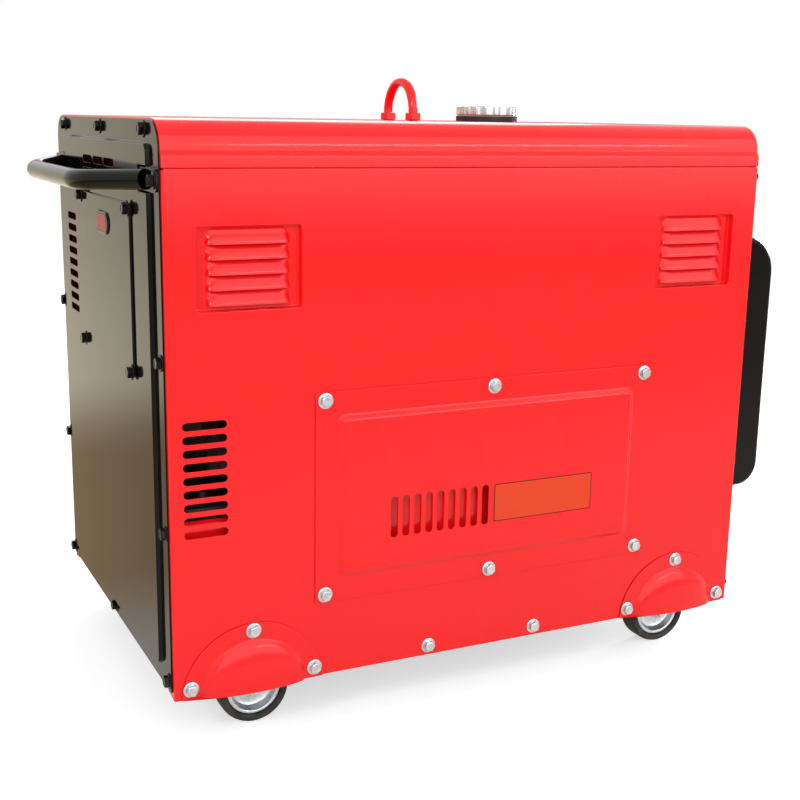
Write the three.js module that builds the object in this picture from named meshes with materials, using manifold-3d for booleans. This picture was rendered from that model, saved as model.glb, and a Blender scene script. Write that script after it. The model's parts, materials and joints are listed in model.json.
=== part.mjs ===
// Portable generator: a red sheet-steel enclosure on four swivel casters, with the engine,
// alternator, fuel tank and battery inside. Millimetres, +Z up. X runs along the enclosure:
// the carrying handle is at -X and the air outlet hood at +X. -Y is the maintenance side,
// +Y the control side. Heights named below count from the side panels' bottom edge.
import * as THREE from 'three';
import { mergeVertices } from 'three/addons/utils/BufferGeometryUtils.js';
import Module from 'manifold-3d';

const wasm = await Module();
wasm.setup();
const { Manifold, Mesh: SolidMesh } = wasm;

// ---- Driving dimensions -------------------------------------------------------------------
// Sheet metal and fits
const sheet = 1.5;
const seat = 0.3; // gap between two pieces that rest on each other
const runningPlay = 0.5; // between a turning piece and what surrounds it
const flangeWidth = 25; // edges turned in for the end panels' bolts
const weld = 1e-3;

// Enclosure
const bodyLength = 780;
const bodyWidth = 526;
const wallHeight = 588;
const roofRise = 50; // wall's top to the roof's crest
const roofBend = 31;
const roofBendSteps = 6;
const roofShoulder = 4.5; // how far the roof's wall stands in from its skirt
const roofSkirt = 12;
const roofSkirtInset = 0.5; // from the side panel's face
const roofFlare = 6;
const roofCut = 5; // how far a hole's cutter runs past the roof's sheet
const lipWidth = 14; // flange along the seam between roof and side panels

// Ventilation slots, one punch for all
const ventLength = 50;
const ventWidth = 9;
const ventPitch = 15.25;
const ventCount = 9;

// Flange bolts
const boltHex = 12;
const boltHead = 5;
const boltFlange = 9.2;
const boltFlangeThickness = 1.6;

// End panels
const endInset = 2;
const endBottom = 8;
const fieldInset = 39;
const fieldTop = 26;
const fieldBottom = 20;
const fieldRise = 4.4;
const fieldCorner = 12;
const endBoltInset = 14;
const endTopBoltInset = 60;
const endTopBoltDrop = 11.5;
const endBoltHeights = [20, 194, 384];
const endBottomBoltHeight = 19; // of the bolt in the middle of the bottom edge
const endVentCentreY = 162;
const endVentDrop = 130; // crest to the highest slot, as is the next one
const upperVentDrop = 52;
const upperVentPitch = 56;
const upperVentRows = 2;
const upperVentColumns = 3;

// Service cover on the left end panel
const serviceWidth = 252;
const serviceHeight = 196;
const serviceCentreY = -30;
const serviceDrop = 190; // crest to the cover's centre
const serviceRise = 2.2;
const serviceCorner = 4;
const serviceBoltInset = 6;
const serviceLap = 18; // how far the cover laps over its opening
const badgeLength = 60;
const badgeWidth = 27;
const badgeRise = 2;
const badgeAbove = 67; // the cover's centre

// Louvred pockets
const pocketWidth = 118;
const pocketHeight = 90;
const pocketInset = 35;
const pocketDrop = 60; // wall's top to the pocket's
const pocketDepth = 8;
const louvreCount = 5;
const louvrePitch = 16.3;
const louvreHeight = 14;
const louvreLength = 92;
const louvreRise = 6;
const louvreLip = 4.2; // height of a louvre's steep lower edge
const louvreSkin = 3; // thickness of a louvre's sloping top, measured upright
const louvreFirst = 5.5;

// Side vents
const sideVentInset = 40.5;
const sideVentBottom = 193;

// Maintenance cover
const coverWidth = 461;
const coverHeight = 251;
const coverCentreX = 9;
const coverBottom = 90;
const coverCorner = 3;
const coverBoltInsetX = 12;
const coverBoltInsetZ = 10;
const coverFieldInsetX = 27;
const coverFieldInsetZ = 28;
const coverFieldRise = 4.5;
const coverFieldSlope = 10; // width of the field's sloping border
const coverFieldCorner = 10;
const coverOpeningLapX = 24;
const coverOpeningLapZ = 20;
const coverVentFirst = -132.5; // first slot's place from the cover's centre
const coverVentBottom = 160;

// Inner wall behind the slots of the maintenance side
const innerWallSetback = 11;
const innerWallBottom = 78;
const innerWallTop = 205;

// Wheel arches and their covers
const archInset = 93;
const archRadius = 72;
const archCoverRadius = 85.5;
const archCoverDrop = 6;
const archBoltCircle = 76.5;
const archBoltAngle = 0.24; // of the two lower bolts, above the circle's centre
const bulgeHalfWidth = 62;
const bulgeHeight = 58;
const bulgeDepth = 12.5;
const skirtBoltPlaces = [-72, 78];
const skirtBoltHeight = 12;

// Casters
const wheelRadius = 43.5;
const wheelWidth = 30;
const tyreShoulder = 4;
const rimRadius = 33.5;
const rimWidth = 26;
const rimWeb = 3;
const rimLip = 5;
const hubRadius = 9;
const wheelFacets = 20;
const rimFacets = 16;
const hubDrop = 25; // hub below the side panels' bottom edge
const casterInset = 61; // swivel axis from the side panel's face
const casterTrail = 17;
const forkPlate = 2.5;
const forkCrownRadius = 22;
const forkCrownThickness = 4;
const forkCrownHeight = 32;
const legEndRadius = 8;
const legEndSteps = 5;
const legSpread = 19; // half the leg's width at the crown
const legPlay = 2; // between the tyre and each leg
const axleRadius = 4;
const axleNut = 11;
const axleNutLength = 5;
const kingpinRadius = 6;
const casterPadLength = 84;
const casterPadWidth = 66;
const casterPadThickness = 3;

// Base tray
const trayFloor = 50;
const trayThickness = 2;
const traySkirtBottom = 3;
const trayArchPlay = 2; // tray's arch beyond the side panel's
const trayArchDrop = 4;

// Carrying handle
const handleDrop = 63; // crest to the middle of the handle's feet
const handleReach = 56; // panel face to the bar's centre
const handleDroop = 4.5; // how far the bar hangs below the feet
const handleRadius = 11;
const handleBarHalf = 132; // half the bar's length, between the corners of its bends
const handleBend = 80;
const handleBendSteps = 4;
const handleLegInset = 47; // side panel's face to where a leg meets its foot
const handleFootWidth = 66;
const handleFootHeight = 24;
const handleFootThickness = 3;
const handleFootCorner = 6;
const reliefPlay = 1.5; // round each handle foot, in the raised field

// Air outlet hood on the right end
const hoodInset = 42; // side panel's face to the hood's side
const hoodBottom = 145;
const hoodDrop = 94; // wall's top to the hood's
const hoodDepth = 76;
const hoodTopBend = 50;
const hoodBottomBend = 32;
const hoodBendSteps = 3;
const hoodFlange = 16;
const hoodFlangeDrop = 6; // below the hood's floor
const hoodFlangeCorner = 8;
const hoodMouthDepth = 30;
const hoodMouthInset = 10; // from the flange's face
const hoodMouthMargin = 25; // from the hood's sides
const hoodMouthGap = 15; // between two mouths
const hoodLowBolt = 60; // above the hood's floor
const hoodHighBolt = 30; // below the hood's top
const outletMargin = 45; // hood edge to the end panel's outlet opening

// Lifting eye and frame
const eyeRod = 6;
const eyeHalfSpan = 37.5;
const eyeCentreHeight = 12; // arc centre above the roof
const eyeX = 6;
const eyeThreadBelow = 3; // below the lower nuts
const nutHex = 19;
const nutHeight = 9.5;
const rodPlay = 0.4;
const frameTube = 30;
const frameHalfSpan = 212;

// Fuel system
const capX = 137;
const capRadius = 42;
const capRimHeight = 13.5;
const capDome = 4;
const capDomeRadius = 23;
const capEdge = 3; // width of the bevel round the cap's top
const capEdgeDrop = 1.5;
const capDomeSag = 1; // the dome's edge below its middle
const gasketThickness = 7;
const neckRadius = 26;
const neckWall = 3;
const capPlugDepth = 5;
const capPlugRadius = 20;
const tankLength = 210;
const tankWidth = 300;
const tankHeight = 100;
const tankWall = 2;
const tankCorner = 20;

// Control panel on the +Y side
const controlCentreX = -170;
const controlDrop = 131; // wall's top to the plate's middle
const controlWidth = 340;
const controlHeight = 176;
const controlLap = 12;
const controlPlate = 2;
const controlCorner = 6;
const upperRowRise = 36; // meter, breaker and key above the plate's middle
const lowerRowDrop = 40; // terminals below the plate's middle
const meterPlace = -118; // along X from the plate's middle, as are the next four
const terminalPlace = -112;
const breakerPlace = -40;
const keyPlace = 22;
const socketPlace = 84;
const socketRises = { upper: 40, lower: -38 };
const meterSize = 64;
const meterCorner = 5;
const meterBezel = 6;
const meterBezelWidth = 5;
const meterDialCorner = 3;
const meterDialDepth = 4;
const meterPostRadius = 2;
const meterPostHeight = 1; // above the dial
const meterBodyRadius = 26;
const meterBodyDepth = 34;
const needleLength = 30;
const needleWidth = 2.4;
const needleThickness = 0.8;
const needleHubRadius = 3;
const needleHubThickness = 1.4;
const needleTipShare = 0.3; // the tip's width as a share of the root's
const needlePivotDrop = 14;
const needleRestAngle = Math.PI / 4; // above the row's level, pointing to +X
const breakerWidth = 36;
const breakerHeight = 70;
const breakerDepth = 45;
const breakerFront = 5;
const breakerCollar = 4;
const breakerCollarThickness = 2;
const breakerSlotDepth = 8;
const breakerSlotHeight = 32;
const toggleRadius = 5;
const toggleLength = 8;
const toggleThickness = 5;
const toggleAxisDepth = 2; // behind the breaker's mounting face
const toggleLean = 0.35; // below level, to the toggle's OFF side, at rest
const keySwitchRadius = 13;
const keyBodyRadius = 10;
const keyBoreDepth = 14;
const keyBladeDepth = 12;
const keySwitchFront = 5;
const keyBodyDepth = 34;
const keyBladeRadius = 3;
const keyHeadWidth = 18;
const keyHeadLength = 7;
const keyHeadCorner = 3;
const keyThickness = 3;
const socketSize = 56;
const socketFlange = 4;
const socketCorner = 5;
const socketBore = 19.8;
const socketDepth = 17;
const socketBodyRadius = 25;
const socketBodyDepth = 30;
const pinHoleRadius = 2.6;
const pinHolePitch = 19;
const pinHoleFloor = 5; // left behind the pin holes
const lidThickness = 5;
const lidInset = 1; // from the socket's edge
const lidCorner = 4;
const lidKnuckle = 3;
const lidBridge = 2; // between the lid's knuckle and the top of its plate
const lidEar = 8;
const lidPinRadius = 1;
const pinPlay = 0.5; // round a hinge's pin
const terminalBase = 46;
const terminalBaseHeight = 24;
const terminalBaseThickness = 4;
const terminalCorner = 4;
const terminalKnob = 8;
const terminalKnobHex = 13;
const terminalPitch = 22;

// Service door on the +Y side
const doorWidth = 350;
const doorHeight = 240;
const doorCentreX = 150;
const doorBottom = 96;
const doorLap = 14;
const doorPan = 6;
const doorCorner = 5;
const hingeRadius = 4.5;
const hingeLength = 40;
const hingePinRadius = 2;
const hingeInset = 36;
const latchRadius = 13;
const latchShaft = 5;
const latchKnob = 5;
const latchEdge = 18; // latch's centre to the rim of the doorway
const latchGripLength = 20;
const latchGripWidth = 5;
const latchGripRise = 1;
const latchCamWidth = 10;
const latchCamThickness = 3;
const latchCamHeel = 6;
const latchCamPlay = 1.5; // behind the side panel
const latchCam = 32; // the cam's reach from the latch's axis

// Engine and alternator
const crankHeight = 190;
const crankRadius = 17.5;
const crankcaseLength = 220;
const crankcaseWidth = 240;
const crankcaseBottom = 100;
const crankcaseTop = 290;
const crankcaseX = 40;
const crankcaseCorner = 30;
const sumpInsetLeft = 40;
const sumpInsetRight = 20;
const sumpInsetSide = 35;
const sumpRise = 4; // above the feet's underside
const blockRoot = 5; // how far the cylinder and the sump run into the crankcase
const cylinderSize = 110;
const finReach = 14;
const finCount = 6;
const finThickness = 4;
const finFirst = 14; // above the crankcase
const finLastDrop = 6; // last fin's underside below the head
const headBottom = 400;
const headSize = 130;
const headHeight = 46;
const rockerHeight = 30;
const rockerInsetX = 14;
const rockerInsetY = 10;
const rockerCorner = 16;
const headCorner = 10;
const footHeight = 18;
const footWidth = 40;
const engineMountSpan = 130;
const alternatorMountSpan = 85;
const engineMountOffset = 70; // along X from the crankcase's middle
const alternatorMountInset = 45; // from the alternator's outer end
const mountRadius = 18;
const mountHeight = 30;
const flywheelRadius = 104;
const flywheelThickness = 14;
const flywheelGap = 6; // to the crankcase
const flywheelHubWall = 12;
const flywheelHubRise = 14;
const bladeCount = 12;
const bladeHeight = 20;
const bladeThickness = 3;
const bladeRoot = 52;
const bladeTipInset = 4;
const shroudRadius = 116;
const shroudDepth = 52;
const shroudWall = 2.5;
const crankEndPlay = 4; // shaft's end from the outer faces it stands within
const alternatorRadius = 115;
const alternatorLength = 225;
const statorBore = 78;
const statorLength = 120;
const rotorRadius = 75;
const rotorLength = 110;
const rotorInset = 55; // alternator's outer end to the rotor
const statorInset = 50;
const alternatorWall = 6;
const alternatorShoulder = 14;
const alternatorInnerShoulder = 16;
const alternatorEndRadius = 103;
const alternatorEndInner = 95;
const alternatorWebHalf = 70;
const alternatorWebRise = 24; // into the housing's round
const mufflerRadius = 62;
const mufflerLength = 250;
const mufflerX = 236;
const mufflerZ = 425;
const exhaustRadius = 17;
const exhaustFlange = 6;
const exhaustFlangeWidth = 52;
const exhaustFlangeHeight = 40;
const tailRadius = 19;
const tailWall = 2;
const tailInset = 50; // from the can's end
const tailIntoHood = 30;
const tailBoreStart = 4; // outside the can
const filterRadius = 58;
const filterLength = 95;
const intakeRadius = 20;
const intakeLength = 14;
const batteryLength = 185;
const batteryWidth = 125;
const batteryHeight = 165;
const batteryPostRadius = 9;
const batteryPostHeight = 14;
const batteryPostInset = 28;
const batteryPostSetback = 25;
const batteryCorner = 5;
const batteryInsetX = 20; // from the tray's end
const batteryInsetY = 20; // from the tray's side

// ---- Values worked out from the dimensions ------------------------------------------------
const halfLength = bodyLength / 2;
const halfWidth = bodyWidth / 2;
const groundClearance = hubDrop + wheelRadius;
const endFace = halfLength + seat + sheet; // outer face of an end panel
const crestHeight = wallHeight + roofRise;
const handleHeight = crestHeight - handleDrop;
const serviceCentreZ = crestHeight - serviceDrop;
const badgeCentreZ = serviceCentreZ + badgeAbove;
const pocketBottom = wallHeight - pocketDrop - pocketHeight;
const hoodTop = wallHeight - hoodDrop;
const controlCentreZ = wallHeight - controlDrop;
const handleOut = endFace + handleReach + handleRadius;
const hoodOut = endFace + seat + hoodDepth;
const bodyShift = (handleOut - hoodOut) / 2; // centres the whole object's box on the origin
const trayHalfWidth = halfWidth - sheet - seat;
const trayHalfLength = halfLength - sheet - seat;
const swivelX = halfLength - archInset;
const swivelY = halfWidth - casterInset;
const roofUnderside = crestHeight - sheet;
const controlFace = halfWidth - sheet - seat; // outer face of the control plate

// ---- Colours ------------------------------------------------------------------------------
function finish(color, roughness, metalness) {
  return new THREE.MeshStandardMaterial({ color, roughness, metalness });
}

const redPaint = finish(0xe02a2c, 0.25, 0);
const blackPaint = finish(0x101012, 0.2, 0);
const zinc = finish(0xc8ccd0, 0.35, 0.9);
const chrome = finish(0xe8e8e8, 0.15, 1);
const castAluminium = finish(0x9a9da0, 0.5, 0.8);
const darkSteel = finish(0x3a3c40, 0.5, 0.7);
const rubber = finish(0x1c1c1c, 0.85, 0);
const plastic = finish(0x1a1a1c, 0.5, 0);
const greyPlate = finish(0x55585c, 0.5, 0.2);
const whitePlastic = finish(0xe6e6e0, 0.5, 0);
const redPlastic = finish(0xc41414, 0.4, 0);
const bluePlastic = finish(0x1d4fa0, 0.45, 0);

// ---- Solids -------------------------------------------------------------------------------
function signedVolume(position, index) {
  const corner = (k) => new THREE.Vector3().fromBufferAttribute(position, index.getX(k));
  let sum = 0;
  for (let k = 0; k < index.count; k += 3) sum += corner(k).dot(corner(k + 1).cross(corner(k + 2)));
  return sum / 6;
}

function toSolid(geometry) {
  geometry.deleteAttribute('normal');
  geometry.deleteAttribute('uv');
  const merged = mergeVertices(geometry, weld);
  const triVerts = Uint32Array.from(merged.index.array);
  if (signedVolume(merged.attributes.position, merged.index) < 0) triVerts.reverse();
  const vertProperties = Float32Array.from(merged.attributes.position.array);
  return new Manifold(new SolidMesh({ numProp: 3, vertProperties, triVerts }));
}

// How a flat outline (u, v) and the direction it is extruded in lie in space, by axis.
const frames = {
  x: [new THREE.Vector3(0, 1, 0), new THREE.Vector3(0, 0, 1), new THREE.Vector3(1, 0, 0)],
  y: [new THREE.Vector3(1, 0, 0), new THREE.Vector3(0, 0, 1), new THREE.Vector3(0, -1, 0)],
  z: [new THREE.Vector3(1, 0, 0), new THREE.Vector3(0, 1, 0), new THREE.Vector3(0, 0, 1)],
};

function lay(geometry, axis, along) {
  const [u, v, w] = frames[axis];
  const matrix = new THREE.Matrix4().makeBasis(u, v, w);
  matrix.setPosition(w.clone().multiplyScalar(along));
  return geometry.applyMatrix4(matrix);
}

// Extrudes an outline between two places on an axis, in either order.
function slab(axis, outline, from, to, curveSegments = 1) {
  const low = Math.min(from, to);
  const depth = Math.abs(to - from);
  const geometry = new THREE.ExtrudeGeometry(outline, { depth, bevelEnabled: false, curveSegments });
  return toSolid(lay(geometry, axis, axis === 'y' ? -(low + depth) : low));
}

function box(x0, x1, y0, y1, z0, z1) {
  const geometry = new THREE.BoxGeometry(Math.abs(x1 - x0), Math.abs(y1 - y0), Math.abs(z1 - z0));
  geometry.translate((x0 + x1) / 2, (y0 + y1) / 2, (z0 + z1) / 2);
  return toSolid(geometry);
}

function polygon(points) {
  return new THREE.Shape(points.map(([u, v]) => new THREE.Vector2(u, v)));
}

function ring(count, radius, u, v, turn = 0) {
  return Array.from({ length: count }, (_, k) => {
    const angle = turn + (k * 2 * Math.PI) / count;
    return [u + radius * Math.cos(angle), v + radius * Math.sin(angle)];
  });
}

function disc(axis, radius, from, to, u, v, count = 16) {
  return slab(axis, polygon(ring(count, radius, u, v)), from, to);
}

function hexagon(axis, acrossFlats, from, to, u, v) {
  return slab(axis, polygon(ring(6, acrossFlats / Math.sqrt(3), u, v)), from, to);
}

function roundedBox(u0, u1, v0, v1, radius) {
  const shape = new THREE.Shape();
  const r = Math.max(radius, 0.1);
  shape.absarc(u1 - r, v0 + r, r, -Math.PI / 2, 0);
  shape.absarc(u1 - r, v1 - r, r, 0, Math.PI / 2);
  shape.absarc(u0 + r, v1 - r, r, Math.PI / 2, Math.PI);
  shape.absarc(u0 + r, v0 + r, r, Math.PI, (3 * Math.PI) / 2);
  shape.closePath();
  return shape;
}

function rectangle(u0, u1, v0, v1) {
  return polygon([[u0, v0], [u1, v0], [u1, v1], [u0, v1]]);
}

// A slot with round ends, centred at (u, v), lying along u, or along v when upright.
function obround(u, v, length, width, upright = false) {
  const half = width / 2;
  const steps = 3;
  const end = Array.from({ length: steps + 1 }, (_, k) => {
    const angle = (k * Math.PI) / steps;
    return [length / 2 - half + half * Math.sin(angle), -half * Math.cos(angle)];
  });
  const lying = [...end, ...end.map(([a, b]) => [-a, -b])];
  return polygon(lying.map(([a, b]) => (upright ? [u - b, v + a] : [u + a, v + b])));
}

// Turns a closed (radius, height) profile about an axis through (u, v). The facets are
// turned half a step, so that one of them faces straight down.
function turned(axis, profile, u, v, count = 24) {
  const closed = [...profile, profile[0]].map(([r, h]) => new THREE.Vector2(r, h));
  const geometry = new THREE.LatheGeometry(closed, count, Math.PI / count);
  const [first, second, along] = frames[axis];
  const matrix = new THREE.Matrix4().makeBasis(second, along, first);
  if (axis === 'y') matrix.makeBasis(second, along.clone().negate(), first.clone().negate());
  geometry.applyMatrix4(matrix);
  const centre = first.clone().multiplyScalar(u).addScaledVector(second, v);
  geometry.translate(centre.x, centre.y, centre.z);
  return toSolid(geometry);
}

// Cutters run 1 mm past the faces they cut, and joined parts 1 mm into one another.
const join = (...solids) => solids.reduce((whole, piece) => whole.add(piece));
const cutAll = (solid, cutters) => cutters.reduce((rest, cutter) => rest.subtract(cutter), solid);

// Presses an outline out of a sheet whose outer face is at `face`, keeping the sheet's
// thickness. `outline(inset)` gives the outline drawn in by an inset; `out` is +1 or -1.
function press(plate, axis, outline, face, out, rise) {
  const skin = slab(axis, outline(0), face - out * sheet, face + out * rise);
  const hollow = slab(axis, outline(sheet), face - out * 2 * sheet, face + out * (rise - sheet));
  return plate.add(skin).subtract(hollow);
}

// Presses an outline out of a sheet like `press`, with a sloping border of a given width.
function pressSloped(plate, axis, outline, face, out, rise, slope) {
  const frustum = (low, high, inset) => {
    const thin = out * 0.01;
    const base = slab(axis, outline(inset), low, low + thin);
    return Manifold.hull([base, slab(axis, outline(inset + slope), high, high - thin)]);
  };
  const skin = frustum(face - out * sheet / 2, face + out * rise, 0);
  const hollow = frustum(face - out * 2 * sheet, face + out * (rise - sheet), sheet);
  return plate.add(skin).subtract(hollow);
}

function flangeBolt(axis, face, out, u, v) {
  const flange = disc(axis, boltFlange, face - out * sheet / 2, face + out * boltFlangeThickness, u, v, 8);
  const head = hexagon(axis, boltHex, face, face + out * (boltFlangeThickness + boltHead), u, v);
  return flange.add(head);
}

function ventColumn(axis, from, to, u, lowest, count) {
  return Array.from({ length: count }, (_, k) => (
    slab(axis, obround(u, lowest + k * ventPitch, ventLength, ventWidth), from, to)
  ));
}

// ---- Assembly group -----------------------------------------------------------------------
const generator = new THREE.Group();
generator.position.set(bodyShift, 0, groundClearance);

function groupAt(parent, x, y, z) {
  const group = new THREE.Group();
  group.position.set(x, y, z);
  parent.add(group);
  return group;
}

function add(parent, name, solid, material) {
  const { vertProperties, triVerts, numProp } = solid.getMesh();
  const geometry = new THREE.BufferGeometry();
  const points = new Float32Array((vertProperties.length / numProp) * 3);
  for (let k = 0; k < points.length / 3; k += 1) {
    points.set(vertProperties.subarray(k * numProp, k * numProp + 3), k * 3);
  }
  geometry.setAttribute('position', new THREE.BufferAttribute(points, 3));
  geometry.setIndex(new THREE.BufferAttribute(Uint32Array.from(triVerts), 1));
  geometry.computeVertexNormals();
  const piece = new THREE.Mesh(geometry, material);
  piece.name = name;
  parent.add(piece);
}

// ---- Enclosure ----------------------------------------------------------------------------
// Half outline of the roof from its skirt's edge on the +Y side to the crest, drawn in by an
// inset, as (y, z) points.
function roofHalf(inset) {
  const skirtY = halfWidth - roofSkirtInset - inset;
  const wallY = halfWidth - roofShoulder - inset;
  const skirtTop = wallHeight + seat + roofSkirt;
  const radius = roofBend - inset;
  const centreY = halfWidth - roofShoulder - roofBend;
  const centreZ = crestHeight - roofBend;
  const bend = Array.from({ length: roofBendSteps + 1 }, (_, k) => {
    const angle = (k * Math.PI) / (2 * roofBendSteps);
    return [centreY + radius * Math.cos(angle), centreZ + radius * Math.sin(angle)];
  });
  const flare = Math.min(skirtTop + roofFlare, centreZ - 0.5);
  return [[skirtY, wallHeight + seat], [skirtY, skirtTop], [wallY, flare], ...bend];
}

function roofSpan(inset) {
  const right = roofHalf(inset);
  return [...right, ...right.slice().reverse().map(([y, z]) => [-y, z])];
}

function roof() {
  const skin = polygon([...roofSpan(0), ...roofSpan(sheet).reverse()]);
  const endFlange = polygon([...roofSpan(0), ...roofSpan(flangeWidth).reverse()]);
  const lipZ = wallHeight + seat;
  const pieces = [slab('x', skin, -halfLength, halfLength)];
  for (const side of [-1, 1]) {
    pieces.push(slab('x', endFlange, side * halfLength, side * (halfLength - sheet)));
    const skirtY = side * (halfWidth - roofSkirtInset);
    const lipY = side * (halfWidth - lipWidth);
    pieces.push(box(-halfLength, halfLength, skirtY, lipY, lipZ, lipZ + sheet));
  }
  const eyeHoles = [-1, 1].map((side) => (
    disc('z', eyeRod + rodPlay, roofUnderside - roofCut, crestHeight + roofCut, eyeX, side * eyeHalfSpan)
  ));
  const neckHole = disc('z', neckRadius + runningPlay, roofUnderside - roofCut, crestHeight + roofCut, capX, 0);
  return cutAll(join(...pieces), [...eyeHoles, neckHole]);
}

function archCutter(x, from, to) {
  return disc('y', archRadius, from, to, x, 0, 24);
}

function louvres(side, pocketX) {
  const floor = side * (halfWidth - pocketDepth);
  const lip = floor + side * louvreRise;
  const inside = floor - side * 2 * sheet;
  const humps = [];
  const hollows = [];
  for (let k = 0; k < louvreCount; k += 1) {
    const z = pocketBottom + louvreFirst + k * louvrePitch;
    const left = pocketX - louvreLength / 2;
    const right = pocketX + louvreLength / 2;
    const root = floor - side * sheet / 2;
    const within = lip - side * sheet;
    const outer = [[root, z + louvreHeight], [lip, z + louvreLip], [lip, z], [root, z]];
    const inner = [
      [inside, z + louvreHeight - louvreSkin],
      [within, z + louvreLip - sheet / 2],
      [within, z - 1],
      [inside, z - 1],
    ];
    humps.push(slab('x', polygon(outer), left, right));
    hollows.push(slab('x', polygon(inner), left + sheet, right - sheet));
  }
  return { humps, hollows };
}

// Presses a louvred pocket into a side panel, centred at pocketX.
function pocket(panel, side, pocketX) {
  const outline = (inset) => rectangle(
    pocketX - pocketWidth / 2 + inset,
    pocketX + pocketWidth / 2 - inset,
    pocketBottom + inset,
    pocketBottom + pocketHeight - inset,
  );
  const face = side * halfWidth;
  // The pocket's walls lie outside its opening, so the opening keeps its stated size.
  const walls = slab('y', outline(-sheet), face, face - side * (pocketDepth + sheet));
  const space = slab('y', outline(0), face + side * sheet, face - side * pocketDepth);
  const { humps, hollows } = louvres(side, pocketX);
  return cutAll(join(panel.add(walls).subtract(space), ...humps), hollows);
}

function sidePlate(side) {
  const outer = side * halfWidth;
  const inner = side * (halfWidth - sheet);
  const pieces = [slab('y', rectangle(-halfLength, halfLength, 0, wallHeight), inner, outer)];
  for (const end of [-1, 1]) {
    const [flangeEnd, flangeEdge] = [end * halfLength, side * (halfWidth - flangeWidth)];
    pieces.push(box(flangeEnd, flangeEnd - end * sheet, outer, flangeEdge, traySkirtBottom, wallHeight));
  }
  const lipEdge = side * (halfWidth - lipWidth);
  pieces.push(box(-halfLength, halfLength, outer, lipEdge, wallHeight - sheet, wallHeight));
  const arches = [-1, 1].map((end) => archCutter(end * swivelX, outer + side, inner - side));
  return cutAll(join(...pieces), arches);
}

const pocketPlace = halfLength - pocketInset - pocketWidth / 2;

function sideVents(outer, side) {
  const u = -halfLength + sideVentInset;
  return ventColumn('y', outer + side, outer - side * 2 * sheet, u, sideVentBottom, ventCount);
}

// The front panel's inner wall is welded between its end flanges.
function frontPanel() {
  const outer = -halfWidth;
  let panel = sidePlate(-1);
  panel = pocket(panel, -1, -pocketPlace);
  panel = pocket(panel, -1, pocketPlace);
  const opening = slab('y', rectangle(
    coverCentreX - coverWidth / 2 + coverOpeningLapX,
    coverCentreX + coverWidth / 2 - coverOpeningLapX,
    coverBottom + coverOpeningLapZ,
    coverBottom + coverHeight - coverOpeningLapZ,
  ), outer - 1, outer + 2 * sheet);
  const bolts = skirtBoltPlaces.map((x) => flangeBolt('y', outer, -1, x, skirtBoltHeight));
  const wallFace = outer + innerWallSetback;
  const wallEnd = halfLength - sheet / 2;
  const wall = box(-wallEnd, wallEnd, wallFace, wallFace + sheet, innerWallBottom, innerWallTop);
  return join(cutAll(panel, [opening, ...sideVents(outer, -1)]), wall, ...bolts);
}

function hingeSeats() {
  const axisX = doorCentreX - doorWidth / 2 - hingeRadius - seat;
  const axisY = halfWidth + hingeRadius + seat;
  const pieces = [];
  for (const z of hingeHeights()) {
    const low = z - hingeLength / 2;
    const third = hingeLength / 3;
    for (const [from, to] of [[low, low + third - seat], [low + 2 * third + seat, low + hingeLength]]) {
      pieces.push(disc('z', hingeRadius, from, to, axisX, axisY, 12));
      pieces.push(box(axisX - hingeRadius * 2, axisX, halfWidth - sheet / 2, axisY, from, to));
    }
    pieces.push(disc('z', hingePinRadius, low, low + hingeLength, axisX, axisY, 8));
  }
  return pieces;
}

function hingeHeights() {
  return [doorBottom + hingeInset, doorBottom + doorHeight - hingeInset];
}

function rearPanel() {
  const outer = halfWidth;
  let panel = pocket(sidePlate(1), 1, pocketPlace);
  const control = slab('y', rectangle(
    controlCentreX - controlWidth / 2,
    controlCentreX + controlWidth / 2,
    controlCentreZ - controlHeight / 2,
    controlCentreZ + controlHeight / 2,
  ), outer + 1, outer - 2 * sheet);
  const door = slab('y', rectangle(
    doorCentreX - doorWidth / 2 + doorLap,
    doorCentreX + doorWidth / 2 - doorLap,
    doorBottom + doorLap,
    doorBottom + doorHeight - doorLap,
  ), outer + 1, outer - 2 * sheet);
  const bolts = skirtBoltPlaces.map((x) => flangeBolt('y', outer, 1, x, skirtBoltHeight));
  panel = cutAll(panel, [control, door, ...sideVents(outer, 1)]);
  return join(panel, ...bolts, ...hingeSeats());
}

// Outline of an end panel in (y, z): the enclosure's section drawn in a little.
function endOutline() {
  const wall = roofHalf(endInset).slice(2);
  const edge = halfWidth - roofShoulder - endInset;
  const right = [[edge, endBottom], ...wall];
  return polygon([...right, ...right.slice().reverse().map(([y, z]) => [-y, z])]);
}

function endBolts(end, heights) {
  const face = end * endFace;
  const edge = halfWidth - endBoltInset;
  const bolts = [];
  for (const side of [-1, 1]) {
    for (const z of heights) bolts.push(flangeBolt('x', face, end, side * edge, z));
  }
  const topZ = crestHeight - endTopBoltDrop;
  for (const y of [-halfWidth + endTopBoltInset, 0, halfWidth - endTopBoltInset]) {
    bolts.push(flangeBolt('x', face, end, y, topZ));
  }
  bolts.push(flangeBolt('x', face, end, 0, endBottomBoltHeight));
  return bolts;
}

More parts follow.
